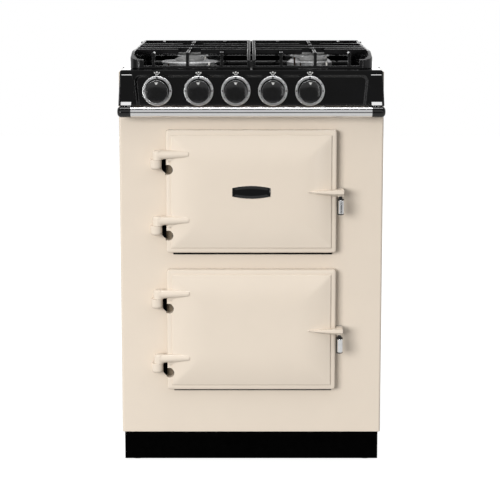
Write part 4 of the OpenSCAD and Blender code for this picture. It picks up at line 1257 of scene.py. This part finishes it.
class COOKER_OT_stage(Operator):
    """Sets the floor, the room's light, the lamps and the camera"""

    bl_idname = "cooker.stage"
    bl_label = "Stage"

    def execute(self, context):
        tones = context.scene.cooker_tones
        self.room(context.scene, tones.ambient)
        self.floor()
        # The key light shows only in matt surfaces, so that gloss doesn't burn out on its side
        key = area_light("key_light", (-3.9, -7.0, 2.1), (0, -0.3, 0.55), 4.4, 3.0, tones.key_power)
        key.visible_glossy = False
        for name, lamp in GLOSS_LAMPS.items():
            area_light(name, *lamp).visible_diffuse = False
        self.camera(context.scene)
        context.scene.view_settings.view_transform = "Standard"
        return {"FINISHED"}

    def camera(self, scene):
        """A long lens a little over the cooker, tipped down and shifted."""
        pitch = 0.1578
        work_on()
        bpy.ops.object.camera_add(
            location=spot(-3.07, -3800, 1187), rotation=(math.pi / 2 - pitch, 0, 0)
        )
        camera = bpy.context.object
        camera.name = "camera"
        camera.data.sensor_width = 36
        camera.data.lens = 121.8
        camera.data.shift_y = -0.06
        camera.data.clip_end = 100
        scene.camera = camera

    def floor(self):
        """A pale floor that the camera sees as white, with the shadow kept."""
        seen_glow, mirrored_glow = 0.9, 0.5
        work_on()
        bpy.ops.mesh.primitive_plane_add(size=9, location=(0, 2.3, -0.0005))
        floor = name_new("floor")
        material = bpy.data.materials.new("painted_studio_floor")
        material.use_nodes = True
        tree = material.node_tree
        tree.nodes.clear()
        place = outputs_of(tree, "ShaderNodeTexCoord")["Object"]
        grain = outputs_of(tree, "ShaderNodeTexNoise", {"Vector": place, "Scale": 300.0})["Fac"]
        bump = outputs_of(tree, "ShaderNodeBump", {"Height": grain, "Distance": 0.1 * MM})["Normal"]
        paint = outputs_of(tree, "ShaderNodeBsdfDiffuse", {"Color": colour("#8e8e8c"), "Normal": bump})
        ray = outputs_of(tree, "ShaderNodeLightPath")
        gloss = outputs_of(
            tree, "ShaderNodeMath", {0: ray["Is Glossy Ray"], 1: mirrored_glow}, operation="MULTIPLY"
        )
        share = outputs_of(
            tree, "ShaderNodeMath", {0: ray["Is Camera Ray"], 1: seen_glow, 2: gloss[0]},
            operation="MULTIPLY_ADD",
        )
        glow = outputs_of(tree, "ShaderNodeEmission", {"Strength": share[0]})
        both = outputs_of(tree, "ShaderNodeAddShader", {0: paint[0], 1: glow[0]})
        add_node(tree, "ShaderNodeOutputMaterial", {"Surface": both[0]})
        floor.data.materials.append(material)

    def room(self, scene, ambient):
        """A white room to the camera, lighter overhead. Gloss sees panels of light in a dim room."""
        world = bpy.data.worlds.new("studio")
        scene.world = world
        world.use_nodes = True
        tree = world.node_tree
        tree.nodes.clear()
        ray = outputs_of(tree, "ShaderNodeLightPath")
        way = outputs_of(tree, "ShaderNodeTexCoord")["Generated"]
        parts = outputs_of(tree, "ShaderNodeSeparateXYZ", {0: way})
        seen = 0.2
        for panel in LIGHT_PANELS:
            seen = self.lit_panel(tree, parts, seen, panel)
        rise = outputs_of(
            tree, "ShaderNodeMapRange",
            {"Value": parts["Z"], "From Min": -0.1, "To Min": 0.1 * ambient, "To Max": 2.3 * ambient},
        )
        plain = {"Color": (1, 1, 1, 1)}
        mirrored = outputs_of(tree, "ShaderNodeBackground", plain | {"Strength": seen})
        soft = outputs_of(tree, "ShaderNodeBackground", plain | {"Strength": rise[0]})
        white = outputs_of(tree, "ShaderNodeBackground", plain | {"Strength": 1.0})
        shader = soft
        for kind, light in (("Glossy", mirrored), ("Transmission", white), ("Camera", white)):
            mix = {0: ray[f"Is {kind} Ray"], 1: shader[0], 2: light[0]}
            shader = outputs_of(tree, "ShaderNodeMixShader", mix)
        add_node(tree, "ShaderNodeOutputWorld", {"Surface": shader[0]})

    def lit_panel(self, tree, parts, under, panel):
        """Lays a soft-edged panel of light over what gloss sees."""
        light = panel["level"]
        for axis in [axis for axis in "XYZ" if axis in panel]:
            start, full, still_full, end = panel[axis]
            for low, high, first, last in ((start, full, 0.0, 1.0), (still_full, end, 1.0, 0.0)):
                links = {"Value": parts[axis], "From Min": low, "From Max": high}
                links |= {"To Min": first, "To Max": last}
                edge = outputs_of(tree, "ShaderNodeMapRange", links, interpolation_type="SMOOTHSTEP")
                light = outputs_of(tree, "ShaderNodeMath", {0: edge[0], 1: light}, operation="MULTIPLY")[0]
        return outputs_of(tree, "ShaderNodeMath", {0: under, 1: light}, operation="MAXIMUM")[0]


class COOKER_PT_panel(Panel):
    """Lists the cooker's sizes, colours and pieces"""

    bl_idname = "COOKER_PT_panel"
    bl_label = "Range Cooker"
    bl_space_type = "VIEW_3D"
    bl_region_type = "UI"
    bl_category = "Cooker"

    def draw(self, context):
        for group in (context.scene.cooker_sizes, context.scene.cooker_tones):
            for key in group.__annotations__:
                self.layout.prop(group, key)
        for operator in OPERATORS:
            self.layout.operator(operator.bl_idname)


OPERATORS = (
    COOKER_OT_front_plate,
    COOKER_OT_doors,
    COOKER_OT_door_handles,
    COOKER_OT_badge,
    COOKER_OT_fascia,
    COOKER_OT_handrail,
    COOKER_OT_knobs,
    COOKER_OT_knob_marks,
    COOKER_OT_hob,
    COOKER_OT_burners,
    COOKER_OT_node_finishes,
    COOKER_OT_stage,
)
CLASSES = (CookerSizes, CookerTones) + OPERATORS + (COOKER_PT_panel,)


def register():
    for cls in CLASSES:
        bpy.utils.register_class(cls)
    bpy.types.Scene.cooker_sizes = PointerProperty(type=CookerSizes)
    bpy.types.Scene.cooker_tones = PointerProperty(type=CookerTones)


def unregister():
    del bpy.types.Scene.cooker_tones
    del bpy.types.Scene.cooker_sizes
    for cls in reversed(CLASSES):
        bpy.utils.unregister_class(cls)


def main():
    register()
    make_materials(bpy.context.scene.cooker_tones)
    for operator in OPERATORS:
        group, name = operator.bl_idname.split(".")
        getattr(getattr(bpy.ops, group), name)()


if __name__ == "__main__":
    main()
